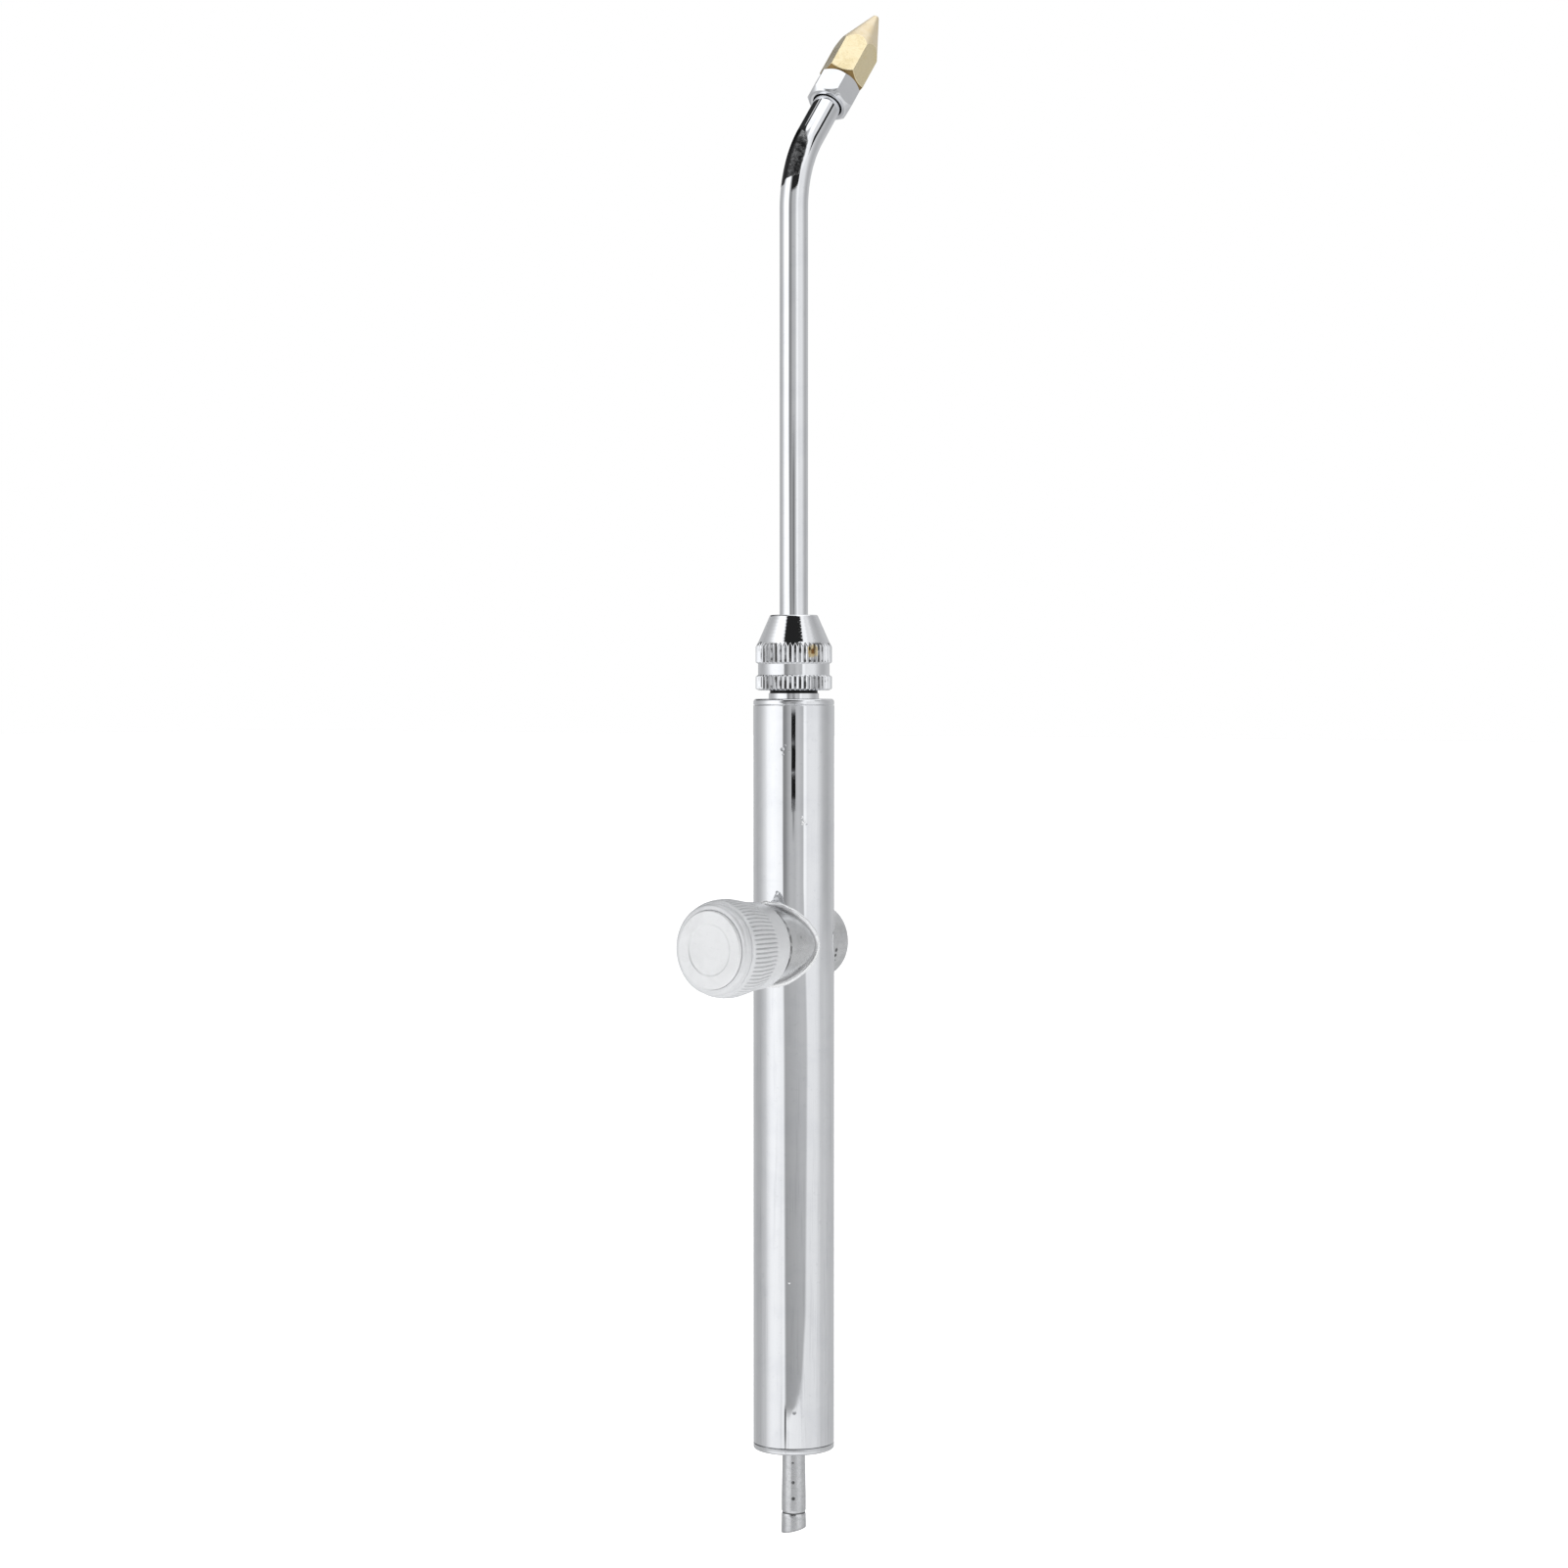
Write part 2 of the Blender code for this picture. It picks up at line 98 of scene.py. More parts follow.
# -------------------------------------------------------------- node building
class Nodes:
    """Short ways to write a node tree."""

    def __init__(self, tree):
        self.tree = tree

    def add(self, kind, **settings):
        node = self.tree.nodes.new(kind)
        for key, value in settings.items():
            setattr(node, key, value)
        return node

    def put(self, socket, value):
        if isinstance(value, bpy.types.NodeSocket):
            self.tree.links.new(value, socket)
        else:
            socket.default_value = value

    def math(self, op, a, b=0.0, c=0.0, clamp=False):
        node = self.add("ShaderNodeMath", operation=op, use_clamp=clamp)
        self.put(node.inputs[0], a)
        self.put(node.inputs[1], b)
        self.put(node.inputs[2], c)
        return node.outputs[0]

    def mul(self, a, *others):
        for b in others:
            a = self.math("MULTIPLY", a, b)
        return a

    def sum(self, a, *others):
        for b in others:
            a = self.math("ADD", a, b)
        return a

    def vec(self, op, a, b=(0.0, 0.0, 0.0)):
        node = self.add("ShaderNodeVectorMath", operation=op)
        self.put(node.inputs[0], a)
        self.put(node.inputs[1], b)
        return node.outputs[1 if op in ("DOT_PRODUCT", "DISTANCE", "LENGTH") else 0]

    def split(self, vector):
        node = self.add("ShaderNodeSeparateXYZ")
        self.put(node.inputs[0], vector)
        return node.outputs[0], node.outputs[1], node.outputs[2]

    def join(self, x, y, z):
        node = self.add("ShaderNodeCombineXYZ")
        self.put(node.inputs[0], x)
        self.put(node.inputs[1], y)
        self.put(node.inputs[2], z)
        return node.outputs[0]

    def step(self, value, low, high, a=0.0, b=1.0, smooth=True):
        node = self.add("ShaderNodeMapRange", clamp=True,
                        interpolation_type="SMOOTHSTEP" if smooth else "LINEAR")
        self.put(node.inputs["Value"], value)
        self.put(node.inputs["From Min"], low)
        self.put(node.inputs["From Max"], high)
        self.put(node.inputs["To Min"], a)
        self.put(node.inputs["To Max"], b)
        return node.outputs["Result"]

    def between(self, value, low, high, soft):
        """1 between low and high, soft edges."""
        return self.mul(self.step(value, low - soft, low + soft),
                        self.step(value, high + soft, high - soft))

    def mix(self, factor, a, b):
        """Number between a and b."""
        node = self.add("ShaderNodeMix", data_type="FLOAT")
        self.put(node.inputs["Factor"], factor)
        self.put(node.inputs[2], a)
        self.put(node.inputs[3], b)
        return node.outputs[0]

    def mix_colour(self, factor, a, b):
        node = self.add("ShaderNodeMix", data_type="RGBA")
        self.put(node.inputs["Factor"], factor)
        self.put(node.inputs[6], a)
        self.put(node.inputs[7], b)
        return node.outputs[2]

    def noise(self, vector, scale, detail=2.0, rough=0.5, twist=0.0):
        node = self.add("ShaderNodeTexNoise")
        self.put(node.inputs["Vector"], vector)
        self.put(node.inputs["Scale"], scale)
        self.put(node.inputs["Detail"], detail)
        self.put(node.inputs["Roughness"], rough)
        self.put(node.inputs["Distortion"], twist)
        return node.outputs[0]

    def cells(self, vector, scale, feature="F1"):
        node = self.add("ShaderNodeTexVoronoi", feature=feature)
        self.put(node.inputs["Vector"], vector)
        self.put(node.inputs["Scale"], scale)
        return node.outputs["Distance"]

    def ramp(self, value, low, high, stops):
        """Value of the piecewise linear curve through stops at a number in low..high."""
        at = self.step(value, low, high, smooth=False)
        node = self.add("ShaderNodeValToRGB")
        self.put(node.inputs[0], at)
        line = node.color_ramp
        line.interpolation = "LINEAR"
        while len(line.elements) > 1:
            line.elements.remove(line.elements[-1])
        line.elements[0].position = (stops[0][0] - low) / (high - low)
        line.elements[0].color = (stops[0][1],) * 3 + (1.0,)
        for place, shade in stops[1:]:
            line.elements.new((place - low) / (high - low)).color = (shade,) * 3 + (1.0,)
        return self.split(node.outputs[0])[0]

    def bump(self, height, distance, strength=1.0, normal=None):
        node = self.add("ShaderNodeBump")
        node.inputs["Strength"].default_value = strength
        node.inputs["Distance"].default_value = distance
        self.put(node.inputs["Height"], height)
        if normal is not None:
            self.put(node.inputs["Normal"], normal)
        return node.outputs[0]


# ------------------------------------------------------------------ the light
def studio():
    """Light tent: the brightness of each direction round the torch, in degrees
    from the side that the torch's front faces, and above the level."""
    world = bpy.data.worlds.new("studio")
    scene.world = world
    world.use_nodes = True
    tree = world.node_tree
    tree.nodes.clear()
    n = Nodes(tree)
    way = n.add("ShaderNodeTexCoord").outputs["Generated"]
    side = n.vec("DOT_PRODUCT", way, tuple(R))
    front = n.vec("DOT_PRODUCT", way, tuple(B))
    up = n.split(way)[2]
    az = n.mul(n.math("ARCTAN2", side, front), 180.0 / math.pi)
    el = n.mul(n.math("ARCSINE", up), 180.0 / math.pi)

    # the tent's wall: white panel at the left, grey behind, pale panel at the right
    wall = n.ramp(az, -180.0, 180.0, [
        (-180, .52), (-158, .56), (-140, .51), (-125, .47), (-110, .53), (-96, .71), (-88, .87),
        (-80, 1.08), (-68, 1.18), (-56, 1.18), (-42, 1.10), (-30, .98), (0, .94), (27, 1.02),
        (33, 1.04), (39, .85), (45, .88), (68, .87), (75, .79), (82, .67), (90, .56), (98, .49),
        (110, .46), (125, .52), (140, .58), (180, .52)])
    foot = n.ramp(az, -180.0, 180.0, [
        (-180, .52), (-158, .56), (-140, .51), (-125, .46), (-110, .47), (-96, .58), (-88, .71),
        (-80, .92), (-68, 1.12), (-56, 1.15), (-42, 1.10), (-30, 1.0), (0, .92), (33, .88),
        (45, .88), (60, .88), (68, .86), (75, .77), (82, .64), (90, .61), (98, .63), (110, .58),
        (125, .54), (140, .55), (180, .52)])
    shade = n.mix(n.step(el, -5.0, -3.0), foot, wall)
    left = n.between(az, -93.0, -32.0, 3.0)
    lift = n.math("MINIMUM", n.math("MAXIMUM", n.sum(n.mul(el, 0.012), 1.0), 0.82), 1.10)
    shade = n.mul(shade, n.mix(left, 1.0, lift))
    right = n.mul(n.step(az, 20.0, 40.0), n.step(az, 80.0, 70.0))
    fall = n.math("MINIMUM", n.math("MAXIMUM", n.sum(n.mul(n.sum(el, 5.0), 0.012), 1.0), 0.88), 1.0)
    shade = n.mul(shade, n.mix(right, 1.0, fall))

    # grey opening in front, where the camera looks in; its sides lean with the height
    left_side = n.mul(n.ramp(el, -13.0, 8.0, [
        (-13, .24), (-11.6, .24), (-9, .26), (-6, .275), (-4, .30), (-2.6, .315), (0.6, .315),
        (1.6, .36), (4.0, .415), (8, .415)]), -100.0)
    right_side = n.sum(n.mul(n.ramp(el, -13.0, 8.0, [
        (-13, .10), (-11.6, .30), (-11.45, .45), (-11.3, .55), (-11.14, .625), (-10, .735), (-6, .785),
        (-4.4, .74), (-3.2, .675), (0.6, .675), (1.6, .59), (8, .57)]), 100.0), -40.0)
    soft = n.mul(n.ramp(el, -13.0, 8.0, [
        (-13, .45), (-5.5, .45), (-3.2, .22), (0.4, .22), (1.6, .70), (8, .85)]), 10.0)
    front = n.mul(n.step(n.math("SUBTRACT", az, left_side), n.mul(soft, -1.0), soft),
                  n.step(n.math("SUBTRACT", az, right_side), soft, n.mul(soft, -1.0)),
                  n.step(el, -11.75, -11.42))
    tone = n.ramp(az, -60.0, 60.0, [
        (-60, .30), (-36, .28), (-23, .28), (-19, .37), (-12, .50), (-5, .53), (3, .51), (9, .58),
        (13, .60), (20, .54), (27, .52), (60, .54)])
    tone_low = n.mul(n.ramp(az, -60.0, 60.0, [
        (-60, .42), (-20, .42), (-12, .44), (0, .47), (12, .50), (24, .53), (60, .54)]),
        n.sum(n.mul(n.sum(el, 6.0), 0.030), 1.0))
    shade = n.mix(front, shade, n.mix(n.step(el, -5.0, -3.0), tone_low, tone))
    post = n.mul(n.between(az, -27.0, -21.5, 1.0), n.step(el, -11.35, -11.55),
                 n.step(el, -12.3, -11.85, 0.25, 1.0))
    shade = n.mix(post, shade, 0.16)

    # narrow dark card in front, and the darker middle above it
    wobble = n.mul(n.sum(n.noise(n.join(0.0, 0.0, el), 2.2, 3.0, 0.6), -0.5), 2.0)
    gaps = n.math("MAXIMUM", n.between(el, -0.935, -0.900, 0.012),
                  n.math("MAXIMUM", n.between(el, -1.410, -1.375, 0.012),
                         n.between(el, -1.89, -1.85, 0.012)))
    stripe = n.mul(n.between(n.sum(az, wobble), -6.9, 4.9, 0.6),
                   n.step(el, -2.02, -1.92), n.step(el, -0.34, -0.44),
                   n.sum(n.mul(gaps, -0.75), 1.0))
    shade = n.mix(stripe, shade, 0.012)
    thin = n.mul(n.between(n.sum(az, wobble), -4.0, 1.5, 1.5), n.step(el, -2.6, -2.1),
                 n.step(el, -1.8, -2.0))
    shade = n.mix(n.mul(thin, 0.45), shade, 0.05)
    middle = n.mul(n.between(az, -11.0, 7.0, 8.0), n.step(el, 0.6, 1.4), n.step(el, 4.5, 3.2))
    shade = n.mix(n.mul(middle, 0.66), shade, 0.06)

    # dark upper zone, black card over the front, white ceiling
    edge = n.mul(n.ramp(az, -180.0, 180.0, [
        (-180, .90), (-167, .90), (-163, .13), (-142, .18), (-134, .27), (-127, .40), (-117, .50),
        (-90, .53), (-60, .55), (-41, .56), (-36, .90), (180, .90)]), 100.0)
    top = n.mul(n.ramp(az, -180.0, 180.0, [
        (-180, .30), (-163, .40), (-150, .52), (-135, .58), (-115, .62), (-104, .74), (180, .74)]), 100.0)
    back = n.mul(n.math("MAXIMUM", n.step(az, -113.0, -121.0), n.step(az, 90.0, 98.0)),
                 n.step(el, 43.5, 48.0))
    shade = n.mix(back, shade, 1.03)
    above = n.mul(n.step(n.math("SUBTRACT", el, edge), -1.0, 1.5),
                  n.step(n.math("SUBTRACT", top, el), -1.0, 1.0))
    shade = n.mix(above, shade, 0.030)
    glow = n.mul(n.between(az, 27.0, 61.0, 4.0), n.between(el, 27.0, 60.0, 3.0))
    shade = n.mix(glow, shade, 1.05)
    high_left = n.mul(n.ramp(el, 20.0, 70.0, [(20, .28), (34, .31), (44, .39), (50, .39), (56, .35), (70, .31)]),
                      -100.0)
    high_right = n.sum(n.mul(n.ramp(el, 20.0, 70.0, [
        (20, .60), (24, .67), (34, .71), (40, .66), (43, .65), (45, .78), (49, .78), (52, .66), (60, .58),
        (66, .40), (70, .28)]), 100.0), -40.0)
    black = n.mul(n.step(n.math("SUBTRACT", az, high_left), -1.5, 1.5),
                  n.step(n.math("SUBTRACT", az, high_right), 1.5, -1.5),
                  n.between(el, 21.5, 70.0, 1.8))
    shade = n.mix(black, shade, 0.02)
    panel = n.mul(n.between(az, 55.0, 76.0, 4.0), n.between(el, 36.0, 56.0, 3.0))
    shade = n.mix(panel, shade, 0.84)
    box = n.math("MAXIMUM",
                 n.mul(n.between(az, 41.0, 92.0, 1.5), n.between(el, 52.0, 75.0, 1.5)),
                 n.mul(n.between(az, 24.0, 43.0, 1.5), n.between(el, 57.0, 75.0, 1.5)))
    shade = n.mix(box, shade, 1.25)
    gap = n.mul(n.between(az, 68.0, 87.0, 1.5), n.between(el, 24.5, 34.3, 0.6))
    shade = n.mix(gap, shade, 0.03)
    shade = n.mix(n.step(el, 71.5, 74.0), shade, 1.2)

    # greyer strip below the opening, and the table far below
    tail = n.mul(n.step(el, -12.25, -12.5), n.step(el, -18.0, -15.5))
    shade = n.mix(n.mul(tail, 0.8), shade, n.ramp(az, -180.0, 180.0, [
        (-180, .50), (-95, .48), (-60, .66), (-38, .58), (-16, .40), (0, .34), (18, .40), (42, .62),
        (66, .60), (95, .50), (180, .50)]))
    shade = n.mix(n.step(el, -52.0, -60.0), shade, 0.66)

    tint = n.join(n.mul(shade, 0.992), n.mul(shade, 1.0), n.mul(shade, 1.012))
    seen = n.add("ShaderNodeLightPath").outputs["Is Camera Ray"]
    light = n.add("ShaderNodeBackground")
    n.put(light.inputs["Color"], n.mix_colour(seen, tint, (1.0, 1.0, 1.0, 1.0)))
    light.inputs["Strength"].default_value = 1.0
    out = n.add("ShaderNodeOutputWorld")
    tree.links.new(light.outputs[0], out.inputs["Surface"])


def floor():
    mesh = bpy.data.meshes.new("floor")
    s = 25.0
    mesh.from_pydata([(-s, -s, -0.40), (s, -s, -0.40), (s, s, -0.40), (-s, s, -0.40)], [],
                     [(0, 1, 2, 3)])
    obj = bpy.data.objects.new("floor", mesh)
    scene.collection.objects.link(obj)
    mat = bpy.data.materials.new("floor_white")
    mat.use_nodes = True
    n = Nodes(mat.node_tree)
    shader = mat.node_tree.nodes["Principled BSDF"]
    where = n.add("ShaderNodeTexCoord").outputs["Object"]
    grain = n.noise(where, 30.0, 3.0, 0.5)
    pale = n.mix_colour(grain, (0.84, 0.84, 0.84, 1.0), (0.88, 0.88, 0.88, 1.0))
    n.put(shader.inputs["Base Color"], pale)
    shader.inputs["Roughness"].default_value = 0.9
    shader.inputs["Specular IOR Level"].default_value = 0.0
    shader.inputs["Emission Color"].default_value = (1.0, 1.0, 1.0, 1.0)
    shader.inputs["Emission Strength"].default_value = 0.75
    mesh.materials.append(mat)
    obj.visible_glossy = False


scene.view_settings.view_transform = "Standard"
scene.view_settings.look = "None"
studio()
floor()


# -------------------------------------------------------------- the materials
def new_material(name):
    mat = bpy.data.materials.new(name)
    mat.use_nodes = True
    shader = mat.node_tree.nodes["Principled BSDF"]
    n = Nodes(mat.node_tree)
    where = n.add("ShaderNodeTexCoord").outputs["Object"]
    return mat, shader, n, where


def spots(n, where, marks):
    """Sum of small round marks: (point in metres, radius in mm, weight)."""
    total = 0.0
    for point, radius, weight in marks:
        away = n.vec("DISTANCE", where, tuple(point))
        mark = n.step(away, radius * MM, radius * MM * 0.35, 0.0, weight)
        total = mark if total == 0.0 else n.sum(total, mark)
    return total


def chrome(name, rough=0.06, wave=4.0, wave_size=9.0, grain=1.0, tint=(0.86, 0.868, 0.885),
           marks=(), rings=0.0, painted_brass_reflection=None, mottled=None, haze=0.05, dust=0.06,
          mark_tone=(0.45, 0.46, 0.48), mark_mix=0.55, streaks=0.0, paint=None):
    """Bright plated metal.  wave: slow unevenness in micrometres and its size in
    mm; grain: fine speckle; rings: turning marks across Z in micrometres; streaks:
    wiping marks along Z; the spot and reach for the brass patch give a brass-coloured
    patch with a dark brown rim, a painted reflection of the brass tip;
    paint(n, where, colour, roughness) adds stains, painted shade and painted
    reflections, and may give a metallic value."""
    mat, shader, n, where = new_material(name)
    slow = n.noise(where, 1000.0 / wave_size, 2.0, 0.5)
    height = n.mul(slow, wave)
    fine = n.noise(where, 1900.0, 3.0, 0.6)
    height = n.sum(height, n.mul(fine, 0.16 * grain))
    if rings:
        x, y, z = n.split(where)
        lines = n.noise(n.join(n.mul(x, 0.02), n.mul(y, 0.02), z), 5200.0, 2.0, 0.6)
        height = n.sum(height, n.mul(lines, rings))
    pits = spots(n, where, marks) if marks else None
    if pits is not None:
        height = n.math("SUBTRACT", height, n.mul(pits, 22.0))
    if mottled is not None:
        spot, reach, depth = mottled
        dents = n.noise(where, 1150.0, 2.0, 0.7)
        away = n.vec("DISTANCE", where, spot)
        height = n.sum(height, n.mul(dents, n.step(away, reach, reach * 0.55), depth))
    normal = n.bump(height, 1e-6)

    smudge = n.step(n.noise(where, 130.0, 4.0, 0.65, 0.4), 0.42, 0.68)
    speck = n.step(n.noise(where, 900.0, 2.0, 0.5), 0.62, 0.78)
    r = n.sum(rough, n.mul(smudge, haze), n.mul(speck, dust))
    dull = n.mix_colour(smudge, (*tint, 1.0), (tint[0] * 0.95, tint[1] * 0.952, tint[2] * 0.96, 1.0))
    colour = n.mix_colour(n.mul(speck, 0.35), dull, (0.70, 0.71, 0.73, 1.0))
    if streaks:
        x, y, z = n.split(where)
        long = n.noise(n.join(x, y, n.mul(z, 0.035)), 1500.0, 3.0, 0.65)
        wiped = n.mul(n.step(long, 0.50, 0.72), n.step(z, 0.0, -0.04, 0.35, 1.0))
        colour = n.mix_colour(n.mul(wiped, streaks), colour, (0.50, 0.51, 0.53, 1.0))
        r = n.sum(r, n.mul(wiped, 0.12 * streaks))
    if pits is not None:
        shown = n.math("MINIMUM", n.math("ABSOLUTE", pits), 1.0)
        sunk = n.math("MINIMUM", n.math("MAXIMUM", pits, 0.0), 1.0)
        raised = n.math("MINIMUM", n.math("MAXIMUM", n.mul(pits, -1.0), 0.0), 1.0)
        colour = n.mix_colour(n.mul(sunk, mark_mix), colour, (*mark_tone, 1.0))
        colour = n.mix_colour(n.mul(raised, 0.8), colour, (0.99, 0.99, 0.99, 1.0))
        r = n.sum(r, n.mul(shown, 0.15))
    # painted reflection of the brass tip: a brass-coloured patch with a dark brown rim
    if painted_brass_reflection is not None:
        spot, reach = painted_brass_reflection
        ragged = n.sum(n.vec("DISTANCE", where, spot),
                       n.mul(n.sum(n.noise(where, 1500.0, 3.0, 0.6), -0.5), reach * 1.1))
        reflected_brass = n.step(ragged, reach, reach * 0.7)
        colour = n.mix_colour(reflected_brass, colour, (0.95, 0.80, 0.50, 1.0))
        colour = n.mix_colour(n.step(ragged, reach * 0.62, reach * 0.35), colour, (0.30, 0.15, 0.05, 1.0))
        r = n.sum(r, n.mul(reflected_brass, 0.22))
    shader.inputs["Metallic"].default_value = 1.0
    if paint is not None:
        colour, r, *metal = paint(n, where, colour, r)
        if metal:
            n.put(shader.inputs["Metallic"], metal[0])
    n.put(shader.inputs["Base Color"], colour)
    n.put(shader.inputs["Roughness"], r)
    n.put(shader.inputs["Normal"], normal)
    return mat


TIP_FACE = Vector((0.0, 0.014409, 0.163389))
TIP_LEAN = math.radians(40.0)
TIP_AXIS = Vector((0.0, math.sin(TIP_LEAN), math.cos(TIP_LEAN)))


def brass(name, kind, tint=(0.97, 0.84, 0.61), rough=0.20, axis=TIP_AXIS):
    """Bright brass.  kind turned: fine rings round the axis; milled: lines along it."""
    mat, shader, n, where = new_material(name)
    along = n.vec("DOT_PRODUCT", where, tuple(axis))
    if kind == "turned":
        x, y, z = n.split(where)
        lines = n.noise(n.join(n.mul(x, 0.03), n.mul(y, 0.03), along), 7500.0, 2.0, 0.65)
        coarse = n.noise(n.join(0.0, 0.0, along), 2600.0, 1.0, 0.5)
        height = n.sum(n.mul(lines, 0.6), n.mul(coarse, 1.1))
    else:
        x, y, z = n.split(where)
        lines = n.noise(n.join(x, y, n.mul(z, 0.06)), 4200.0, 2.0, 0.6)
        height = n.sum(n.mul(lines, 0.3), n.mul(n.noise(where, 420.0, 2.0, 0.5), 1.2))
    normal = n.bump(height, 1e-6)
    patina = n.step(n.noise(where, 420.0, 4.0, 0.6, 0.5), 0.40, 0.72)
    speck = n.step(n.noise(where, 1500.0, 2.0, 0.5), 0.62, 0.80)
    colour = n.mix_colour(patina, (*tint, 1.0), (tint[0] * 0.96, tint[1] * 0.93, tint[2] * 0.84, 1.0))
    colour = n.mix_colour(n.mul(speck, 0.16), colour, (0.55, 0.40, 0.20, 1.0))
    n.put(shader.inputs["Base Color"], colour)
    n.put(shader.inputs["Roughness"], n.sum(rough, n.mul(patina, 0.10), n.mul(lines, 0.06)))
    n.put(shader.inputs["Normal"], normal)
    shader.inputs["Metallic"].default_value = 0.90
    return mat


def satin(name, tint=(0.79, 0.795, 0.80), rough=0.36, rings=False, ribs=0):
    """Silvered moulded plastic with a satin skin and light scuffs; ribs: number of
    ribs whose grooves are given a darker colour."""
    mat, shader, n, where = new_material(name)
    fine = n.noise(where, 3200.0, 2.0, 0.6)
    slow = n.noise(where, 260.0, 2.0, 0.5)
    height = n.sum(n.mul(fine, 0.8), n.mul(slow, 4.0))
    x, y, z = n.split(where)
    if rings:
        out = n.vec("LENGTH", n.join(x, 0.0, z))
        lines = n.noise(n.join(out, 0.0, 0.0), 4200.0, 2.0, 0.6)
        height = n.sum(height, n.mul(lines, 1.1))
    normal = n.bump(height, 1e-6)
    cloudy = n.step(n.noise(where, 330.0, 4.0, 0.6, 0.6), 0.38, 0.70)
    scuff = n.step(n.noise(n.join(n.mul(x, 0.35), y, z), 1500.0, 3.0, 0.6, 1.2), 0.60, 0.76)
    colour = n.mix_colour(cloudy, (*tint, 1.0), tuple(0.955 * c for c in tint) + (1.0,))
    colour = n.mix_colour(n.mul(scuff, 0.30), colour, (0.62, 0.625, 0.63, 1.0))
    if ribs:
        phase = n.math("FRACT", n.sum(n.mul(n.math("ARCTAN2", z, x), ribs / TAU), float(ribs)))
        away = n.mul(n.math("ABSOLUTE", n.sum(phase, -0.5)), 2.0)
        groove_dark = n.mul(n.step(away, 0.50, 0.10), n.between(y, -0.0230, -0.0161, 0.0004),
                     n.step(n.noise(where, 300.0, 3.0, 0.6), 0.34, 0.60, 0.45, 1.0))
        colour = n.mix_colour(n.mul(groove_dark, 0.42), colour, (0.40, 0.405, 0.40, 1.0))
    n.put(shader.inputs["Base Color"], colour)
    n.put(shader.inputs["Roughness"], n.sum(rough, n.mul(cloudy, 0.06), n.mul(scuff, 0.05)))
    n.put(shader.inputs["Normal"], normal)
    shader.inputs["Metallic"].default_value = 0.45
    return mat


def plain_metal(name, tint, rough, rings=1.5):
    """Turned metal of the inner pieces."""
    mat, shader, n, where = new_material(name)
    x, y, z = n.split(where)
    lines = n.noise(n.join(n.mul(x, 0.05), y, n.mul(z, 0.05)), 5200.0, 2.0, 0.6)
    stain = n.step(n.noise(where, 500.0, 3.0, 0.6), 0.40, 0.70)
    colour = n.mix_colour(stain, (*tint, 1.0), tuple(0.86 * c for c in tint) + (1.0,))
    n.put(shader.inputs["Base Color"], colour)
    n.put(shader.inputs["Roughness"], n.sum(rough, n.mul(stain, 0.08), n.mul(lines, 0.06)))
    n.put(shader.inputs["Normal"], n.bump(n.mul(lines, rings), 1e-6))
    shader.inputs["Metallic"].default_value = 1.0
    return mat


def soft_stuff(name, tint, rough, lift):
    """Packing and rubber: fine grain, slightly uneven tone."""
    mat, shader, n, where = new_material(name)
    grain = n.noise(where, 2400.0, 3.0, 0.6)
    tone = n.noise(where, 600.0, 2.0, 0.5)
    colour = n.mix_colour(tone, (*tint, 1.0), tuple(lift * c for c in tint) + (1.0,))
    n.put(shader.inputs["Base Color"], colour)
    n.put(shader.inputs["Roughness"], n.sum(rough, n.mul(grain, 0.1)))
    n.put(shader.inputs["Normal"], n.bump(n.mul(grain, 6.0), 1e-6))
    return mat


# ---------------------------------------------------------------- mesh making
def rounded(points, steps=4, guard=0.012):
    """Outline with its corners rounded: (r, h) keeps a corner, (r, h, size) turns
    it into a small curve that starts that far from the corner."""
    out = []
    last = len(points) - 1
    for i, p in enumerate(points):
        size = p[2] if len(p) > 2 else 0.0
        here = Vector((p[0], p[1]))
        if size <= 0.0 or i in (0, last):
            out.append((here.x, here.y))
            continue
        before = Vector(points[i - 1][:2]) - here
        after = Vector(points[i + 1][:2]) - here
        back = min(size, 0.45 * before.length)
        on = min(size, 0.45 * after.length)
        start = here + before.normalized() * back
        end = here + after.normalized() * on
        if before.length > 3.0 * back:
            g = here + before.normalized() * (back + guard)
            out.append((g.x, g.y))
        for s in range(steps + 1):
            t = s / steps
            q = start * (1 - t) ** 2 + here * (2 * t * (1 - t)) + end * t * t
            out.append((q.x, q.y))
        if after.length > 3.0 * on:
            g = here + after.normalized() * (on + guard)
            out.append((g.x, g.y))
    return out


def densify(points, limit):
    """Adds points to the outline's long edges."""
    out = [points[0]]
    for a, b in zip(points, points[1:]):
        long = math.hypot(b[0] - a[0], b[1] - a[1])
        parts = max(1, math.ceil(long / limit))
        for k in range(1, parts + 1):
            t = k / parts
            out.append((a[0] + (b[0] - a[0]) * t, a[1] + (b[1] - a[1]) * t))
    return out


def upright(x, y, z):
    return x, y, z


def towards_knob(x, y, z):
    return x, -z, y


def at_tip(x, y, z):
    c, s = math.cos(TIP_LEAN), math.sin(TIP_LEAN)
    return x, TIP_FACE.y / MM + y * c + z * s, TIP_FACE.z / MM - y * s + z * c


def grid(rings, close_rows):
    """Faces over rings of equal length; close_rows joins the last ring to the first."""
    faces = []
    rows, n = len(rings), len(rings[0])
    for i in range(rows if close_rows else rows - 1):
        a, b = rings[i], rings[(i + 1) % rows]
        for k in range(n):
            j = (k + 1) % n
            quad = [a[k], a[j], b[j], b[k]]
            quad = [v for m, v in enumerate(quad) if v not in quad[:m]]
            if len(quad) > 2:
                faces.append(tuple(quad))
    return faces


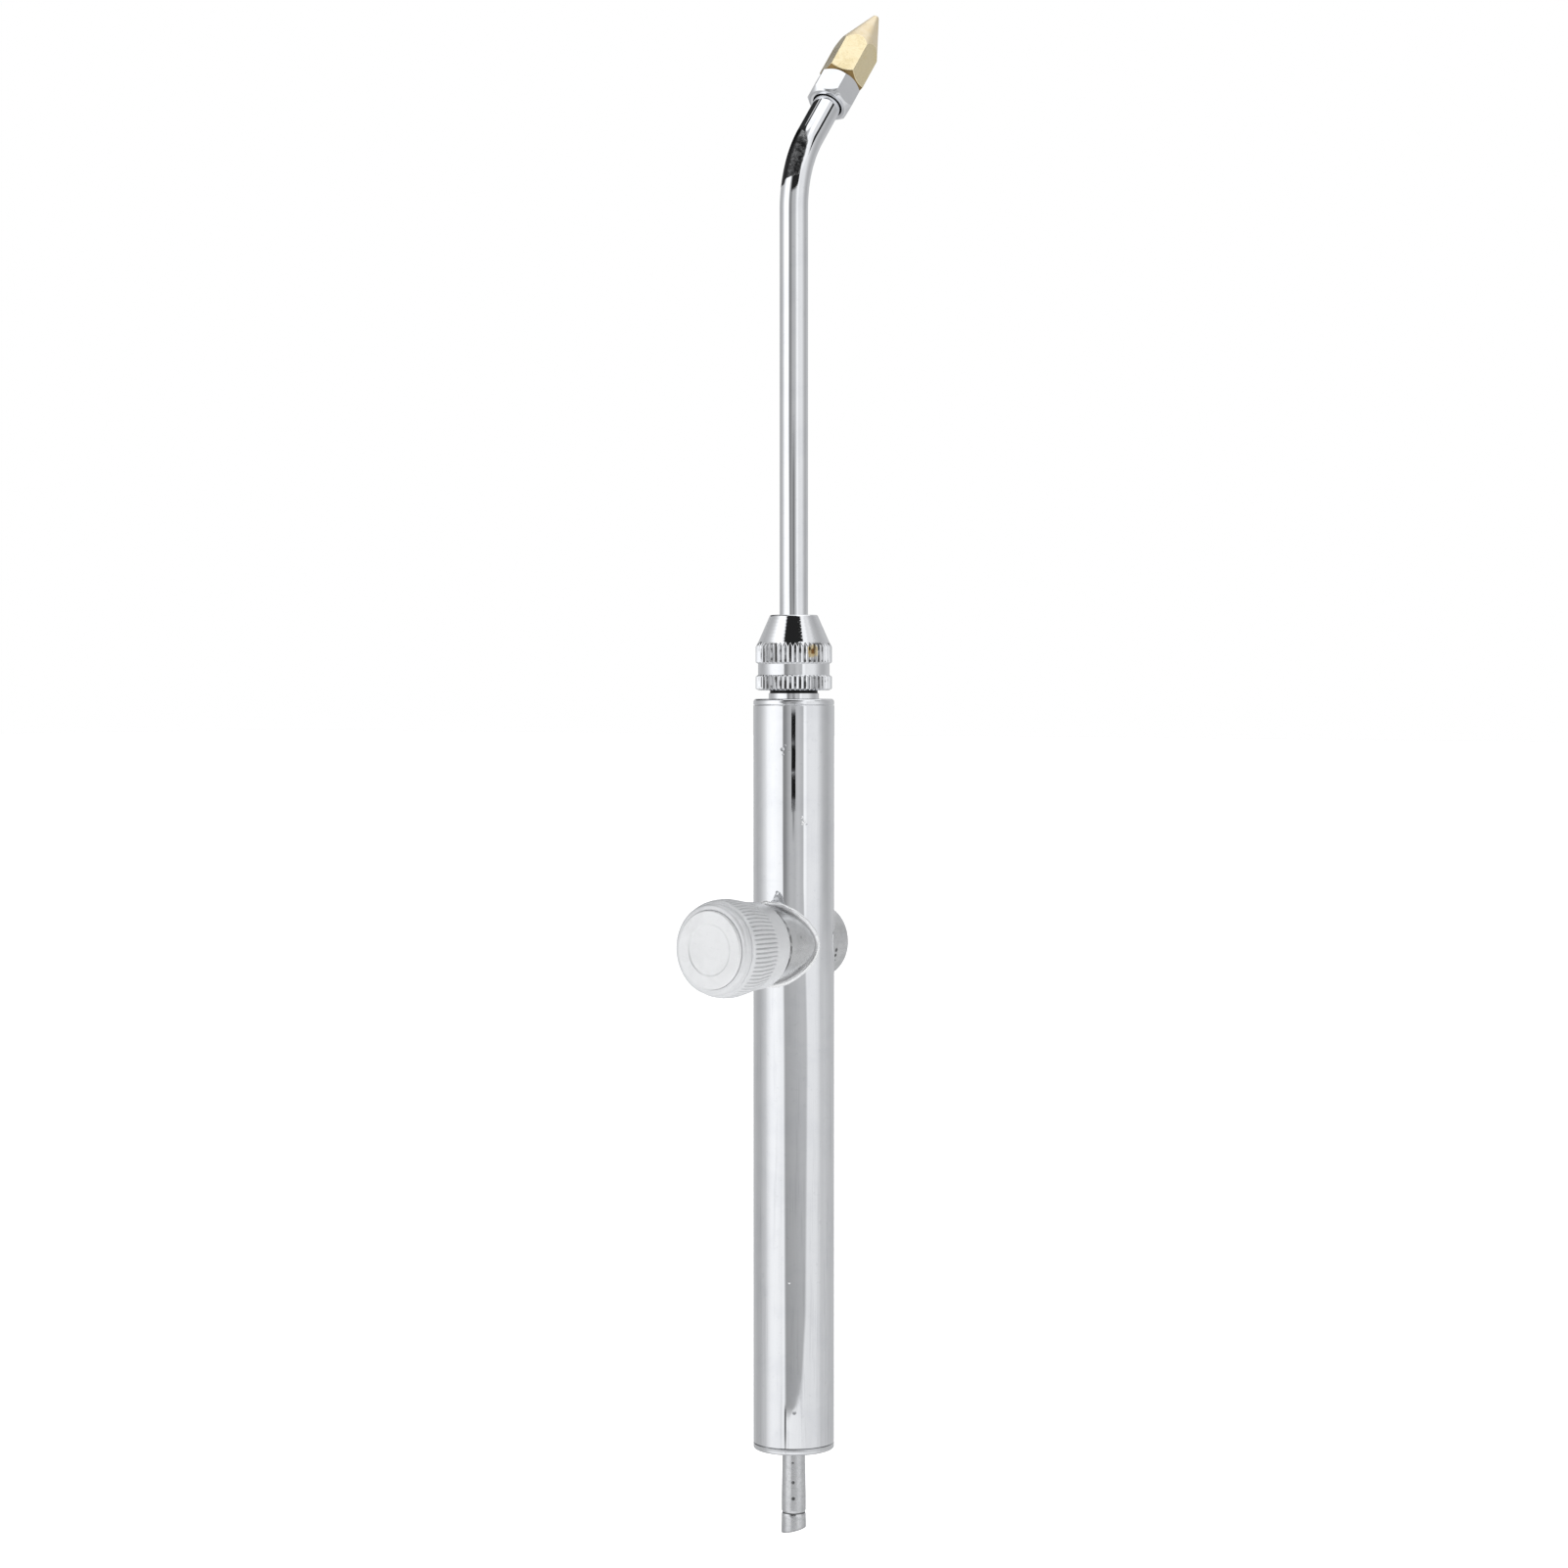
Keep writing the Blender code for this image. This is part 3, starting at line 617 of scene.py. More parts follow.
def lathe(outline, count, shape=None, closed=True, angles=None):
    """Turned surface; shape(r, h, angle) may change each radius."""
    verts, rings = [], []
    angles = angles or [TAU * k / count for k in range(count)]
    for r, h in outline:
        if r < 1e-9:
            verts.append((0.0, 0.0, h))
            rings.append([len(verts) - 1] * len(angles))
            continue
        ring = []
        for a in angles:
            q = shape(r, h, a) if shape else r
            verts.append((q * math.cos(a), q * math.sin(a), h))
            ring.append(len(verts) - 1)
        rings.append(ring)
    return verts, grid(rings, closed)


def piece(name, verts, faces, place, body, mats, nodes=(), sharp=30.0, merge=0.0,
          material_of=None):
    """Object from an outline in millimetres; it rides on body and stands for nodes."""
    mesh = bpy.data.meshes.new(name)
    mesh.from_pydata([tuple(c * MM for c in place(*v)) for v in verts], [], faces)
    if material_of is not None:
        mesh.polygons.foreach_set("material_index", [material_of(i) for i in range(len(faces))])
    bm = bmesh.new()
    bm.from_mesh(mesh)
    if merge:
        bmesh.ops.remove_doubles(bm, verts=bm.verts, dist=merge * MM)
        bmesh.ops.dissolve_degenerate(bm, edges=bm.edges, dist=1e-9)
    bmesh.ops.recalc_face_normals(bm, faces=bm.faces)
    bm.to_mesh(mesh)
    bm.free()
    mesh.shade_smooth()
    mesh.set_sharp_from_angle(angle=math.radians(sharp))
    obj = bpy.data.objects.new(name, mesh)
    scene.collection.objects.link(obj)
    for mat in mats:
        mesh.materials.append(mat)
    if nodes:
        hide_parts(*nodes)
    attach(obj, body)
    return obj


# ------------------------------------------------------------- handle and tail
HANDLE_R, HANDLE_BORE, VALVE_R, CROSS = 7.65, 6.7, 7.1, 7.2

handle_marks = [
    (on_cylinder(798.8, 765.0, HANDLE_R * MM), 0.42, 1.4),
    (on_cylinder(801.5, 761.5, HANDLE_R * MM), 0.26, 0.7),
    (on_cylinder(806.0, 1310.0, HANDLE_R * MM), 0.24, -1.6),
    (on_cylinder(819.5, 840.5, HANDLE_R * MM), 0.40, -1.6),
    (on_cylinder(799.5, 770.5, HANDLE_R * MM), 0.20, 0.6),
    (on_cylinder(806.0, 767.0, HANDLE_R * MM), 0.22, -0.6),
    (on_cylinder(819.0, 834.5, HANDLE_R * MM), 0.26, -1.2),
    (on_cylinder(821.5, 838.5, HANDLE_R * MM), 0.34, -1.5),
    (on_cylinder(823.5, 842.0, HANDLE_R * MM), 0.24, 0.8),
    (on_cylinder(811.0, 1442.5, HANDLE_R * MM), 0.42, 0.8),
    (on_cylinder(793.5, 911.5, HANDLE_R * MM), 0.36, 1.5),
]


def seam_dirt_and_edge_reflection(n, where, colour, r):
    """Dirt in the joint between tube and rear plug, and a painted dark reflection band round the plug's lower
    edge.
    """
    x, y, z = n.split(where)
    worn_off = n.step(n.noise(where, 260.0, 3.0, 0.6), 0.34, 0.50, 0.45, 1.0)
    seam = n.mul(n.between(z, -0.09503, -0.09479, 0.00003), worn_off)
    # painted dark reflection: a dark band round the plug's lower rounded edge
    low = n.mul(n.between(z, -0.09614, -0.09596, 0.00004), worn_off)
    colour = n.mix_colour(n.sum(n.mul(seam, 0.48), n.mul(low, 0.60)), colour, (0.10, 0.10, 0.105, 1.0))
    return colour, n.sum(r, n.mul(seam, 0.2))


chrome_handle = chrome("chrome_handle", rough=0.010, wave=3.0, wave_size=11.0, grain=0.5,
                       marks=handle_marks, haze=0.020, dust=0.012, streaks=0.22, paint=seam_dirt_and_edge_reflection)


def tail_stains(n, where, colour, r):
    """Dull cloudy plating, a darker colour in the ring groove, and darker towards the tube's cut end."""
    x, y, z = n.split(where)
    cloud = n.step(n.noise(where, 1300.0, 4.0, 0.7, 0.4), 0.42, 0.66)
    colour = n.mix_colour(n.mul(cloud, 0.40), colour, (0.50, 0.51, 0.52, 1.0))
    ring = n.between(n.sum(z, n.mul(n.sum(n.noise(where, 900.0), -0.5), 0.00012)), -0.10846, -0.10820, 0.00006)
    colour = n.mix_colour(n.mul(ring, 0.85), colour, (0.05, 0.05, 0.05, 1.0))
    past = n.vec("DOT_PRODUCT", n.vec("SUBTRACT", where, (0.001174, -0.001558, -0.1117)),
                 (0.179753, 0.135434, -0.974345))
    colour = n.mix_colour(n.step(past, -0.00034, -0.00018, 0.0, 0.5), colour, (0.22, 0.22, 0.225, 1.0))
    return colour, n.sum(r, n.mul(cloud, 0.10))


chrome_tail = chrome("chrome_tail", rough=0.15, tint=(0.76, 0.765, 0.775), wave=2.5, wave_size=3.0, grain=1.4, haze=0.08,
                     mark_tone=(0.05, 0.05, 0.05), mark_mix=0.9, paint=tail_stains,
                     marks=[(on_cylinder(809.5, 1493.5, 2.15 * MM), 0.34, 0.9),
                            (on_cylinder(809.8, 1513.5, 2.22 * MM), 0.42, 1.4),
                            (on_cylinder(810.0, 1530.0, 2.28 * MM), 0.46, 1.6)])


def handle_tube():
    """Tube with the cross hole that the valve body is soldered into."""
    angles = [TAU * k / 240 for k in range(240)]
    turn_at = math.acos(CROSS / HANDLE_R)
    for exact in (turn_at, math.pi - turn_at, math.pi + turn_at, TAU - turn_at):
        angles = [a for a in angles if abs(a - exact) > 0.008] + [exact]
    angles.sort()
    top = rounded([(HANDLE_R, 40.0), (HANDLE_R, 44.8, 0.12), (7.2, 44.8)], steps=3)
    low = rounded([(HANDLE_R, -90.0), (HANDLE_R, -94.76), (7.56, -94.84), (HANDLE_BORE, -94.84)], steps=3)
    chains = None
    verts = []
    columns = []
    for a in angles:
        c, s = math.cos(a), math.sin(a)
        x = HANDLE_R * c
        h = math.sqrt(max(CROSS * CROSS - x * x, 0.0))
        if abs(abs(x) - CROSS) < 1e-6 or abs(x) > CROSS:
            h = 0.0
        inner_x = HANDLE_BORE * c
        a1 = math.acos(min(abs(inner_x) / CROSS, 1.0))
        a0 = math.asin(h / CROSS) if h > 0.0 else 0.0
        column = []
        for sign in (1.0, -1.0):
            rim = top if sign > 0 else low
            far = 44.8 if sign > 0 else -94.84
            outer = [(r * c, r * s, z) for r, z in reversed(rim)]
            outer += [(HANDLE_R * c, HANDLE_R * s, sign * z) for z in (26.0, 13.0)]
            outer.append((HANDLE_R * c, HANDLE_R * s, sign * h))
            wall = []
            for k in range(6):
                t = a0 + (a1 - a0) * k / 5
                wx = math.copysign(CROSS * math.cos(t), c)
                wy = wx * s / c if abs(c) > 1e-6 else None
                if k == 0 and h > 0.0:
                    wall.append((HANDLE_R * c, HANDLE_R * s, sign * h))
                elif k == 5 or wy is None or math.hypot(wx, wy) > HANDLE_R:
                    rr = HANDLE_R + (HANDLE_BORE - HANDLE_R) * k / 5
                    zz = math.sqrt(max(CROSS * CROSS - (rr * c) ** 2, 0.0))
                    wall.append((rr * c, rr * s, sign * zz))
                else:
                    wall.append((wx, wy, sign * CROSS * math.sin(t)))
            inner = [wall[-1]]
            inner.append((HANDLE_BORE * c, HANDLE_BORE * s, sign * (14.0 if sign > 0 else 14.0)))
            inner.append((HANDLE_BORE * c, HANDLE_BORE * s, far))
            inner.append(outer[0])
            column.append((outer, wall, inner))
        columns.append(column)
    faces = []
    index = []
    for column in columns:
        mine = []
        for chain_set in column:
            for chain in chain_set:
                ids = []
                for p in chain:
                    verts.append(p)
                    ids.append(len(verts) - 1)
                mine.append(ids)
        index.append(mine)
    for k in range(len(index)):
        one, two = index[k], index[(k + 1) % len(index)]
        for a, b in zip(one, two):
            for i in range(len(a) - 1):
                faces.append((a[i], a[i + 1], b[i + 1], b[i]))
    return verts, faces


verts, faces = handle_tube()
piece("handle_tube_fine", verts, faces, upright, "handle", [chrome_handle],
      ["handle_tube"], merge=0.0005)

outline = rounded([
    (6.6, -86.4), (6.6, -94.8), (7.1, -94.86), (7.48, -94.86), (7.65, -95.02), (7.65, -96.2, 1.30),
    (2.45, -96.2, 0.12), (2.3, -95.9), (2.3, -86.4)], steps=9)
verts, faces = lathe(outline, 200)
piece("rear_plug_fine", verts, faces, upright, "handle", [chrome_handle], ["rear_plug"])


def inlet_tube():
    outline = [(2.15, -5.3), (2.15, -90.0), (2.15, -97.0), (2.19, -100.0), (2.3, -105.3),
               (2.3, -107.8)]
    steps = 12
    for k in range(steps + 1):
        t = k / steps
        z = -107.85 - 0.9 * t
        outline.append((2.3 - 0.12 * math.sin(math.pi * t) ** 1.3, z))
    outline += [(2.3, -109.2), (2.35, -110.9)]
    outline += rounded([(2.35, -111.0), (2.35, -111.7, 0.16), (1.5, -111.7, 0.10), (1.5, -111.1)],
                       steps=4)[1:]
    outline.append((1.5, -5.3))
    verts, faces = lathe(outline, 72)
    lean = math.tan(math.radians(13.0))
    out = []
    for x, y, z in verts:
        follow = min(max((-109.6 - z) / 1.3, 0.0), 1.0)
        follow = follow * follow * (3.0 - 2.0 * follow)
        d = x * -0.799 + y * -0.602
        out.append((x, y, z - lean * d * follow))
    return out, faces


verts, faces = inlet_tube()
piece("inlet_tube_fine", verts, faces, upright, "handle", [chrome_tail], ["inlet_tube"])

# ------------------------------------------------------------------ valve body


def valve_knob_shadow_and_cloud(n, where, colour, r):
    """Broken dark line round the edge next to the knob, which is painted shadow of the knob's skirt, and cloudy
    plating.
    """
    x, y, z = n.split(where)
    broken_shadow = n.step(n.noise(where, 700.0, 3.0, 0.6), 0.38, 0.52, 0.2, 1.0)
    # painted shadow: the broken dark ring where the knob's skirt shades the valve body
    line = n.mul(n.between(y, -0.01050, -0.00992, 0.00008), broken_shadow)
    colour = n.mix_colour(n.mul(line, 0.75), colour, (0.10, 0.10, 0.105, 1.0))
    cloud = n.step(n.noise(where, 650.0, 4.0, 0.7, 0.6), 0.44, 0.62)
    return n.mix_colour(n.mul(cloud, 0.30), colour, (0.55, 0.555, 0.56, 1.0)), r


chrome_valve = chrome("chrome_valve", rough=0.27, wave=8.0, wave_size=2.2, grain=1.6, haze=0.14,
                      tint=(0.82, 0.825, 0.83), mark_tone=(0.05, 0.05, 0.05), mark_mix=0.95,
                      marks=[(on_barrel(854.0, 970.0, 7.1 * MM), 0.52, 1.3),
                             (on_barrel(853.0, 975.5, 7.1 * MM), 0.46, 1.2),
                             (on_barrel(852.0, 981.0, 7.1 * MM), 0.42, 1.1),
                             (on_barrel(818.0, 957.0, 7.1 * MM), 0.42, 0.35),
                             (on_barrel(808.0, 926.0, 7.1 * MM), 0.34, 0.6)], paint=valve_knob_shadow_and_cloud)


def cutter(name, verts, faces, place):
    mesh = bpy.data.meshes.new(name)
    mesh.from_pydata([tuple(c * MM for c in place(*v)) for v in verts], [], faces)
    bm = bmesh.new()
    bm.from_mesh(mesh)
    bmesh.ops.recalc_face_normals(bm, faces=bm.faces)
    bm.to_mesh(mesh)
    bm.free()
    obj = bpy.data.objects.new(name, mesh)
    scene.collection.objects.link(obj)
    return obj


def cut(obj, tools):
    """Cuts the tools out of obj for good and removes them."""
    for tool in tools:
        mod = obj.modifiers.new(tool.name, "BOOLEAN")
        mod.operation = "DIFFERENCE"
        mod.solver = "EXACT"
        mod.object = tool
    bpy.context.view_layer.update()
    shape = obj.evaluated_get(bpy.context.evaluated_depsgraph_get())
    mesh = bpy.data.meshes.new_from_object(shape)
    old = obj.data
    obj.modifiers.clear()
    obj.data = mesh
    bpy.data.meshes.remove(old)
    for tool in tools:
        bpy.data.objects.remove(tool, do_unlink=True)
    mesh.shade_smooth()
    mesh.set_sharp_from_angle(angle=math.radians(30.0))


outline = rounded([
    (0.0, -8.15), (6.6, -8.15, 0.2), (6.9, -8.03, 0.1), (7.1, -7.55, 0.25), (7.1, 10.75, 0.2),
    (6.85, 11.0, 0.1), (4.75, 11.0), (4.75, 7.6), (2.65, 7.6), (2.65, 3.0), (0.8, 3.0), (0.8, 0.0),
    (0.0, 0.0)], steps=5)
verts, faces = lathe(outline, 160, closed=False)
valve = piece("valve_body_fine", verts, faces, towards_knob, "handle", [chrome_valve],
              ["valve_body"])
port_in, in_faces = lathe([(0.0, -9.5), (2.3, -9.5), (2.3, -5.0), (1.45, -5.0), (1.45, 1.0), (0.0, 1.0)],
                          40, closed=False)
port_out, out_faces = lathe([(0.0, 0.2), (1.3, 0.2), (1.3, 4.5), (2.1, 4.5), (2.1, 9.5), (0.0, 9.5)],
                            40, closed=False)
port_out = [(x, y - 4.3, z) for x, y, z in port_out]
cut(valve, [cutter("port_in", port_in, in_faces, upright),
            cutter("port_out", port_out, out_faces, upright)])


def solder_bead(side, size):
    """Raised seam of solder on the handle, a little away from the valve body, with a
    strip on its inner side that takes the painted shade of the crevice."""
    rows = 260
    bump = 9
    verts, rings = [], []
    for k in range(rows):
        a = TAU * k / rows

        def flat(t):
            """Seam unrolled off the handle: arc length round it, height."""
            return Vector((HANDLE_R * math.asin(VALVE_R * math.cos(t) / HANDLE_R),
                           VALVE_R * math.sin(t)))

        here = flat(a)
        along = (flat(a + 0.01) - flat(a - 0.01)).normalized()
        out = Vector((along.y, -along.x))
        if out.dot(here) < 0.0:
            out = -out
        c, s = math.cos(a), math.sin(a)
        uneven = noise.noise(Vector((c * 5.0, s * 5.0 + 7.0 * side, 0.3)))
        inner = size * (0.24 + 0.10 * c * c + 0.05 * uneven)
        wide = size * (0.74 + 0.10 * c * c) * (1.0 + 0.16 * uneven)
        high = size * 0.29 * (1.0 + 0.25 * noise.noise(Vector((c * 9.0, s * 9.0, 4.0 + side))))
        points = [(-0.06, -0.12), (-0.05, 0.04), (inner, 0.02)]
        for m in range(1, bump + 1):
            t = m / bump
            points.append((inner + wide * t, 0.02 + high * math.sin(math.pi * t) ** 0.75))
        points += [(inner + wide + 0.08, 0.012), (inner + wide + 0.08, -0.12)]
        ring = []
        for reach, lift in points:
            q = here + out * reach
            turn = q.x / HANDLE_R
            r = HANDLE_R + lift
            verts.append((r * math.sin(turn), side * r * math.cos(turn), q.y))
            ring.append(len(verts) - 1)
        rings.append(ring)
    return verts, grid(rings, True), len(rings[0])


solder = chrome("solder_bright", rough=0.26, wave=5.0, wave_size=1.2, grain=2.0, haze=0.06,
                tint=(0.95, 0.955, 0.96))
solder.node_tree.nodes["Principled BSDF"].inputs["Metallic"].default_value = 0.55
# painted shade: dark grey chrome for the strip beside each bead, standing for the crevice's shade
stain = chrome("solder_crevice_shade", rough=0.30, wave=3.0, wave_size=1.6, grain=1.5, haze=0.10,
               tint=(0.48, 0.48, 0.485))
for side, size, label, looks in ((-1.0, 1.0, "front", [solder, stain]),
                                 (1.0, 0.45, "rear", [chrome_handle, stain])):
    verts, faces, around = solder_bead(side, size)
    piece("solder_seam_" + label, verts, faces, upright, "handle", looks,
          material_of=lambda i: 0 if 2 <= i % around <= 12 else 1)

# ------------------------------------------------------- front plug and the nut
def nut_groove_dark_and_gap_shadow(n, where, colour, r):
    """Darker colour down in the knurl's grooves, and a painted black shadow in the gap below the nut."""
    x, y, z = n.split(where)
    out = n.vec("LENGTH", n.join(x, y, 0.0))
    bands = n.math("MAXIMUM", n.between(z, 0.0479, 0.0502, 0.0002), n.between(z, 0.0529, 0.0565, 0.0002))
    uneven = n.step(n.noise(where, 420.0, 3.0, 0.65), 0.44, 0.58, 0.05, 1.0)
    # darker colour down in the knurl's grooves
    groove_dark = n.mul(bands, n.step(out, 0.00708, 0.00692), n.step(out, 0.0062, 0.0064), uneven)
    colour = n.mix_colour(n.mul(groove_dark, 0.85), colour, (0.10, 0.095, 0.09, 1.0))
    # painted shadow: a black band on the stem right below the nut
    gap = n.mul(n.step(out, 0.00486, 0.00482), n.between(z, 0.04705, 0.0478, 0.00004))
    colour = n.mix_colour(gap, colour, (0.015, 0.015, 0.015, 1.0))
    return colour, n.sum(r, n.mul(groove_dark, 0.25), n.mul(gap, 0.4))


# the brass-coloured patch on the nut is a painted reflection of the brass tip
chrome_nut = chrome("chrome_nut", rough=0.05, wave=2.0, wave_size=2.0, grain=1.0, haze=0.05, rings=0.5,
                    painted_brass_reflection=(tuple(on_cylinder(830.6, 664.5, 7.15 * MM)), 0.0014), paint=nut_groove_dark_and_gap_shadow)
outline = rounded([
    (6.6, 32.0), (6.6, 44.85), (7.5, 44.86), (7.62, 44.95, 0.08), (7.62, 45.65, 0.28),
    (7.3, 46.0, 0.2), (4.75, 46.0, 0.05), (4.75, 47.05), (4.5, 47.1), (4.5, 48.3), (4.75, 48.4),
    (4.75, 55.6), (4.35, 56.0), (4.2, 56.0), (2.78, 52.0),
    (2.78, 43.6), (3.9, 43.6), (3.9, 42.4), (2.78, 42.4), (2.78, 38.2), (1.3, 38.2), (1.3, 36.0),
    (2.1, 36.0), (2.1, 32.0)], steps=4)
verts, faces = lathe(outline, 160)
piece("front_plug_fine", verts, faces, upright, "handle", [chrome_nut], ["front_plug"])

TEETH, NUT_R, TOOTH, WAIST = 46, 7.2, 0.42, 6.75


def nut_shape(r, h, a):
    """Knurled bands with sharp grooves, cut back by the cone above; light turning
    ridges on the cone."""
    if r < 6.0 and h < 57.0:
        return r
    if r > 6.6 and (47.5 < h < 50.6 or 52.5 < h < 56.75):
        t = abs((a * TEETH / TAU) % 1.0 - 0.5) * 2.0      # 0 in the groove, 1 on the crest
        depth = TOOTH * max(1.0 - t / 0.93, 0.0) ** 1.05
        return min(r, NUT_R - depth)
    if r > 4.5 and h > 56.75:
        return r + 0.004 * math.sin(TAU * (h - 56.75) / 0.66)
    return r


def nut_outline():
    out = rounded([(4.87, 47.6), (6.6, 47.6, 0.12), (7.2, 47.9, 0.10), (7.2, 50.2, 0.10),
                   (6.75, 50.5, 0.06), (6.75, 52.6, 0.06), (7.2, 52.9, 0.10), (7.2, 55.8)],
                  steps=3)
    # cone over the upper band, in small steps so that each tooth ends on it
    for k in range(1, 15):
        t = k / 14
        out.append((7.2 - 0.5 * t, 55.8 + 0.92 * t))
    steps = 48
    for k in range(1, steps + 1):
        t = k / steps
        out.append((6.7 - 2.1 * t, 56.72 + 4.78 * t))
    out += rounded([(4.6, 61.5), (4.48, 61.72), (4.35, 61.8, 0.05), (2.95, 61.8, 0.05), (2.95, 61.3)],
                   steps=3)[1:]
    out.append((4.87, 57.4))
    return out


count = TEETH * 12
verts, faces = lathe(nut_outline(), count, shape=nut_shape)
piece("collet_nut_fine", verts, faces, upright, "collet_nut", [chrome_nut],
      ["collet_nut"], sharp=38.0)

# -------------------------------------------------------------------- the neck
BEND_START, BEND_R, FRONT = 138.1, 22.3, 14.3
bend_middle = (0.0, (BEND_R * (1.0 - math.cos(TIP_LEAN / 2)) - 2.68) * MM,
               (BEND_START + BEND_R * math.sin(TIP_LEAN / 2)) * MM)


def bend_dark_reflection(n, where, colour, r):
    """Dark mottled patch on the bend's side: a painted dark reflection, with paler painted highlights mottled
    into it towards the bend's end, and mostly non-metallic.
    """
    x, y, z = n.split(where)
    up = n.sum(z, -BEND_START * MM)
    back = n.math("SUBTRACT", BEND_R * MM, y)
    a = n.math("ARCTAN2", up, back)
    c, s = n.math("COSINE", a), n.math("SINE", a)
    dy = n.math("SUBTRACT", n.mul(c, BEND_R * MM), back)
    dz = n.math("SUBTRACT", up, n.mul(s, BEND_R * MM))
    across = n.sum(n.mul(c, x, R.x), n.mul(c, dy, R.y), n.mul(s, dz, -R.y))
    size = n.math("SQRT", n.sum(n.mul(c, c), n.mul(s, s, R.y * R.y)))
    across = n.math("DIVIDE", across, n.mul(size, 2.68 * MM))
    turn = n.mul(a, 180.0 / math.pi)
    ragged = n.mul(n.sum(n.noise(where, 900.0, 4.0, 0.7), -0.5), 0.55)
    rim = n.sum(n.mul(n.ramp(n.sum(turn, n.mul(ragged, 3.0)), 8.0, 42.0, [
        (8, .0), (9.2, .0), (10.5, .10), (12.8, .15), (13.8, .34), (15, .57), (25, .62), (32, .54),
        (34, .46), (36, .33), (37.5, .14), (39, .0), (42, .0)]), 2.0), -1.0)
    # painted dark reflection: the patch's outline along the bend
    mark = n.mul(n.step(n.math("SUBTRACT", n.sum(rim, n.mul(ragged, 0.35)), across), -0.05, 0.07),
                 n.between(turn, 9.3, 39.5, 0.8),
                 n.step(n.sum(n.mul(x, B.x / (2.68 * MM)), n.mul(dy, B.y / (2.68 * MM)), n.mul(ragged, 0.3)),
                        -0.35, 0.0))
    # paler painted highlights mottled into the dark patch
    cloud = n.step(n.noise(where, 1250.0, 4.0, 0.72, 0.5), 0.43, 0.64)
    late = n.step(turn, 30.0, 35.0, 0.0, 0.80)
    inward = n.step(across, -0.78, -0.55)
    tone = n.mix_colour(n.mul(n.sum(cloud, n.mul(late, 0.5)), n.sum(late, 0.32), inward),
                        (0.016, 0.016, 0.017, 1.0), (0.36, 0.365, 0.37, 1.0))
    return (n.mix_colour(mark, colour, tone), n.sum(r, n.mul(mark, 0.2)),
            n.sum(n.mul(mark, inward, -0.75), 1.0))


chrome_neck = chrome("chrome_neck", rough=0.03, wave=2.5, wave_size=7.0, grain=0.7, haze=0.03, dust=0.03,
                     mottled=(bend_middle, 0.0080, 4.0), paint=bend_dark_reflection)


def neck_tube():
    path = []
    z = 38.3
    while z < BEND_START - 0.1:
        path.append((0.0, z, 0.0))
        z += 4.0
    bend = 64
    for k in range(bend + 1):
        a = TIP_LEAN * k / bend
        path.append((BEND_R * (1.0 - math.cos(a)), BEND_START + BEND_R * math.sin(a), a))
    for k in range(1, 7):
        t = (FRONT - 2.9) * k / 6
        path.append((BEND_R * (1.0 - math.cos(TIP_LEAN)) + math.sin(TIP_LEAN) * t,
                     BEND_START + BEND_R * math.sin(TIP_LEAN) + math.cos(TIP_LEAN) * t, TIP_LEAN))
    count = 96
    verts, outer, inner = [], [], []
    for y, z, a in path:
        bent = math.sin(math.pi * min(max((z - BEND_START) / 14.3, 0.0), 1.0))
        for radius, rings in ((2.68, outer), (1.9, inner)):
            ring = []
            for k in range(count):
                t = TAU * k / count
                side = math.sin(t)
                # a bent tube flattens a little: narrower in the plane of the bend
                flat = radius * (1.0 - 0.018 * bent * side * side)
                ripple = 0.010 * bent * math.sin(z * 2.6) * max(side, 0.0)
                q = flat + (ripple if radius > 2.0 else 0.0)
                off = q * math.sin(t)
                verts.append((q * math.cos(t), y + off * math.cos(a), z - off * math.sin(a)))
                ring.append(len(verts) - 1)
            rings.append(ring)
    faces = grid(outer, False) + grid(inner, False) + grid([outer[0], inner[0]], False)
    faces += grid([outer[-1], inner[-1]], False)
    return verts, faces


verts, faces = neck_tube()
piece("neck_tube_fine", verts, faces, upright, "neck", [chrome_neck], ["neck_tube"])


# --------------------------------------------------------------- adapter, tip
def hexagon(across, turn_deg, fillet):
    """(angle, radius) round a hexagon with slightly rounded corners."""
    corner = across / math.sqrt(3.0)
    t = fillet * math.tan(math.radians(30.0))
    reach = math.degrees(math.atan2(t * math.sin(math.radians(60.0)),
                                    corner - t * math.cos(math.radians(60.0))))
    centre = corner - fillet / math.sin(math.radians(60.0))
    steps = [0.0, reach * 0.34, reach * 0.67, reach, reach + 0.35]
    flat = [30.0 - s for s in steps] + [26.0, 22.0, 18.0, 14.0, 10.0, 6.0, 2.0]
    flat = sorted(set([-d for d in flat] + flat))
    out = []
    for k in range(6):
        middle = turn_deg + 60.0 * k + 30.0
        for d in flat[:-1]:
            off = 30.0 - abs(d)
            if off < reach:
                e = math.radians(off)
                radius = centre * math.cos(e) + math.sqrt(max(fillet ** 2 - (centre * math.sin(e)) ** 2, 0.0))
            else:
                radius = 0.5 * across / math.cos(math.radians(d))
            out.append((math.radians(middle + d), radius))
    return out


def hex_piece(columns, rows_of):
    """Surface from one outline per column, all with the same number of points."""
    verts, rings = [], None
    for a, radius in columns:
        rows = rows_of(radius)
        if rings is None:
            rings = [[] for _ in rows]
        for ring, (r, h) in zip(rings, rows):
            verts.append((r * math.cos(a), r * math.sin(a), h))
            ring.append(len(verts) - 1)
    return verts, grid(rings, True), len(columns)


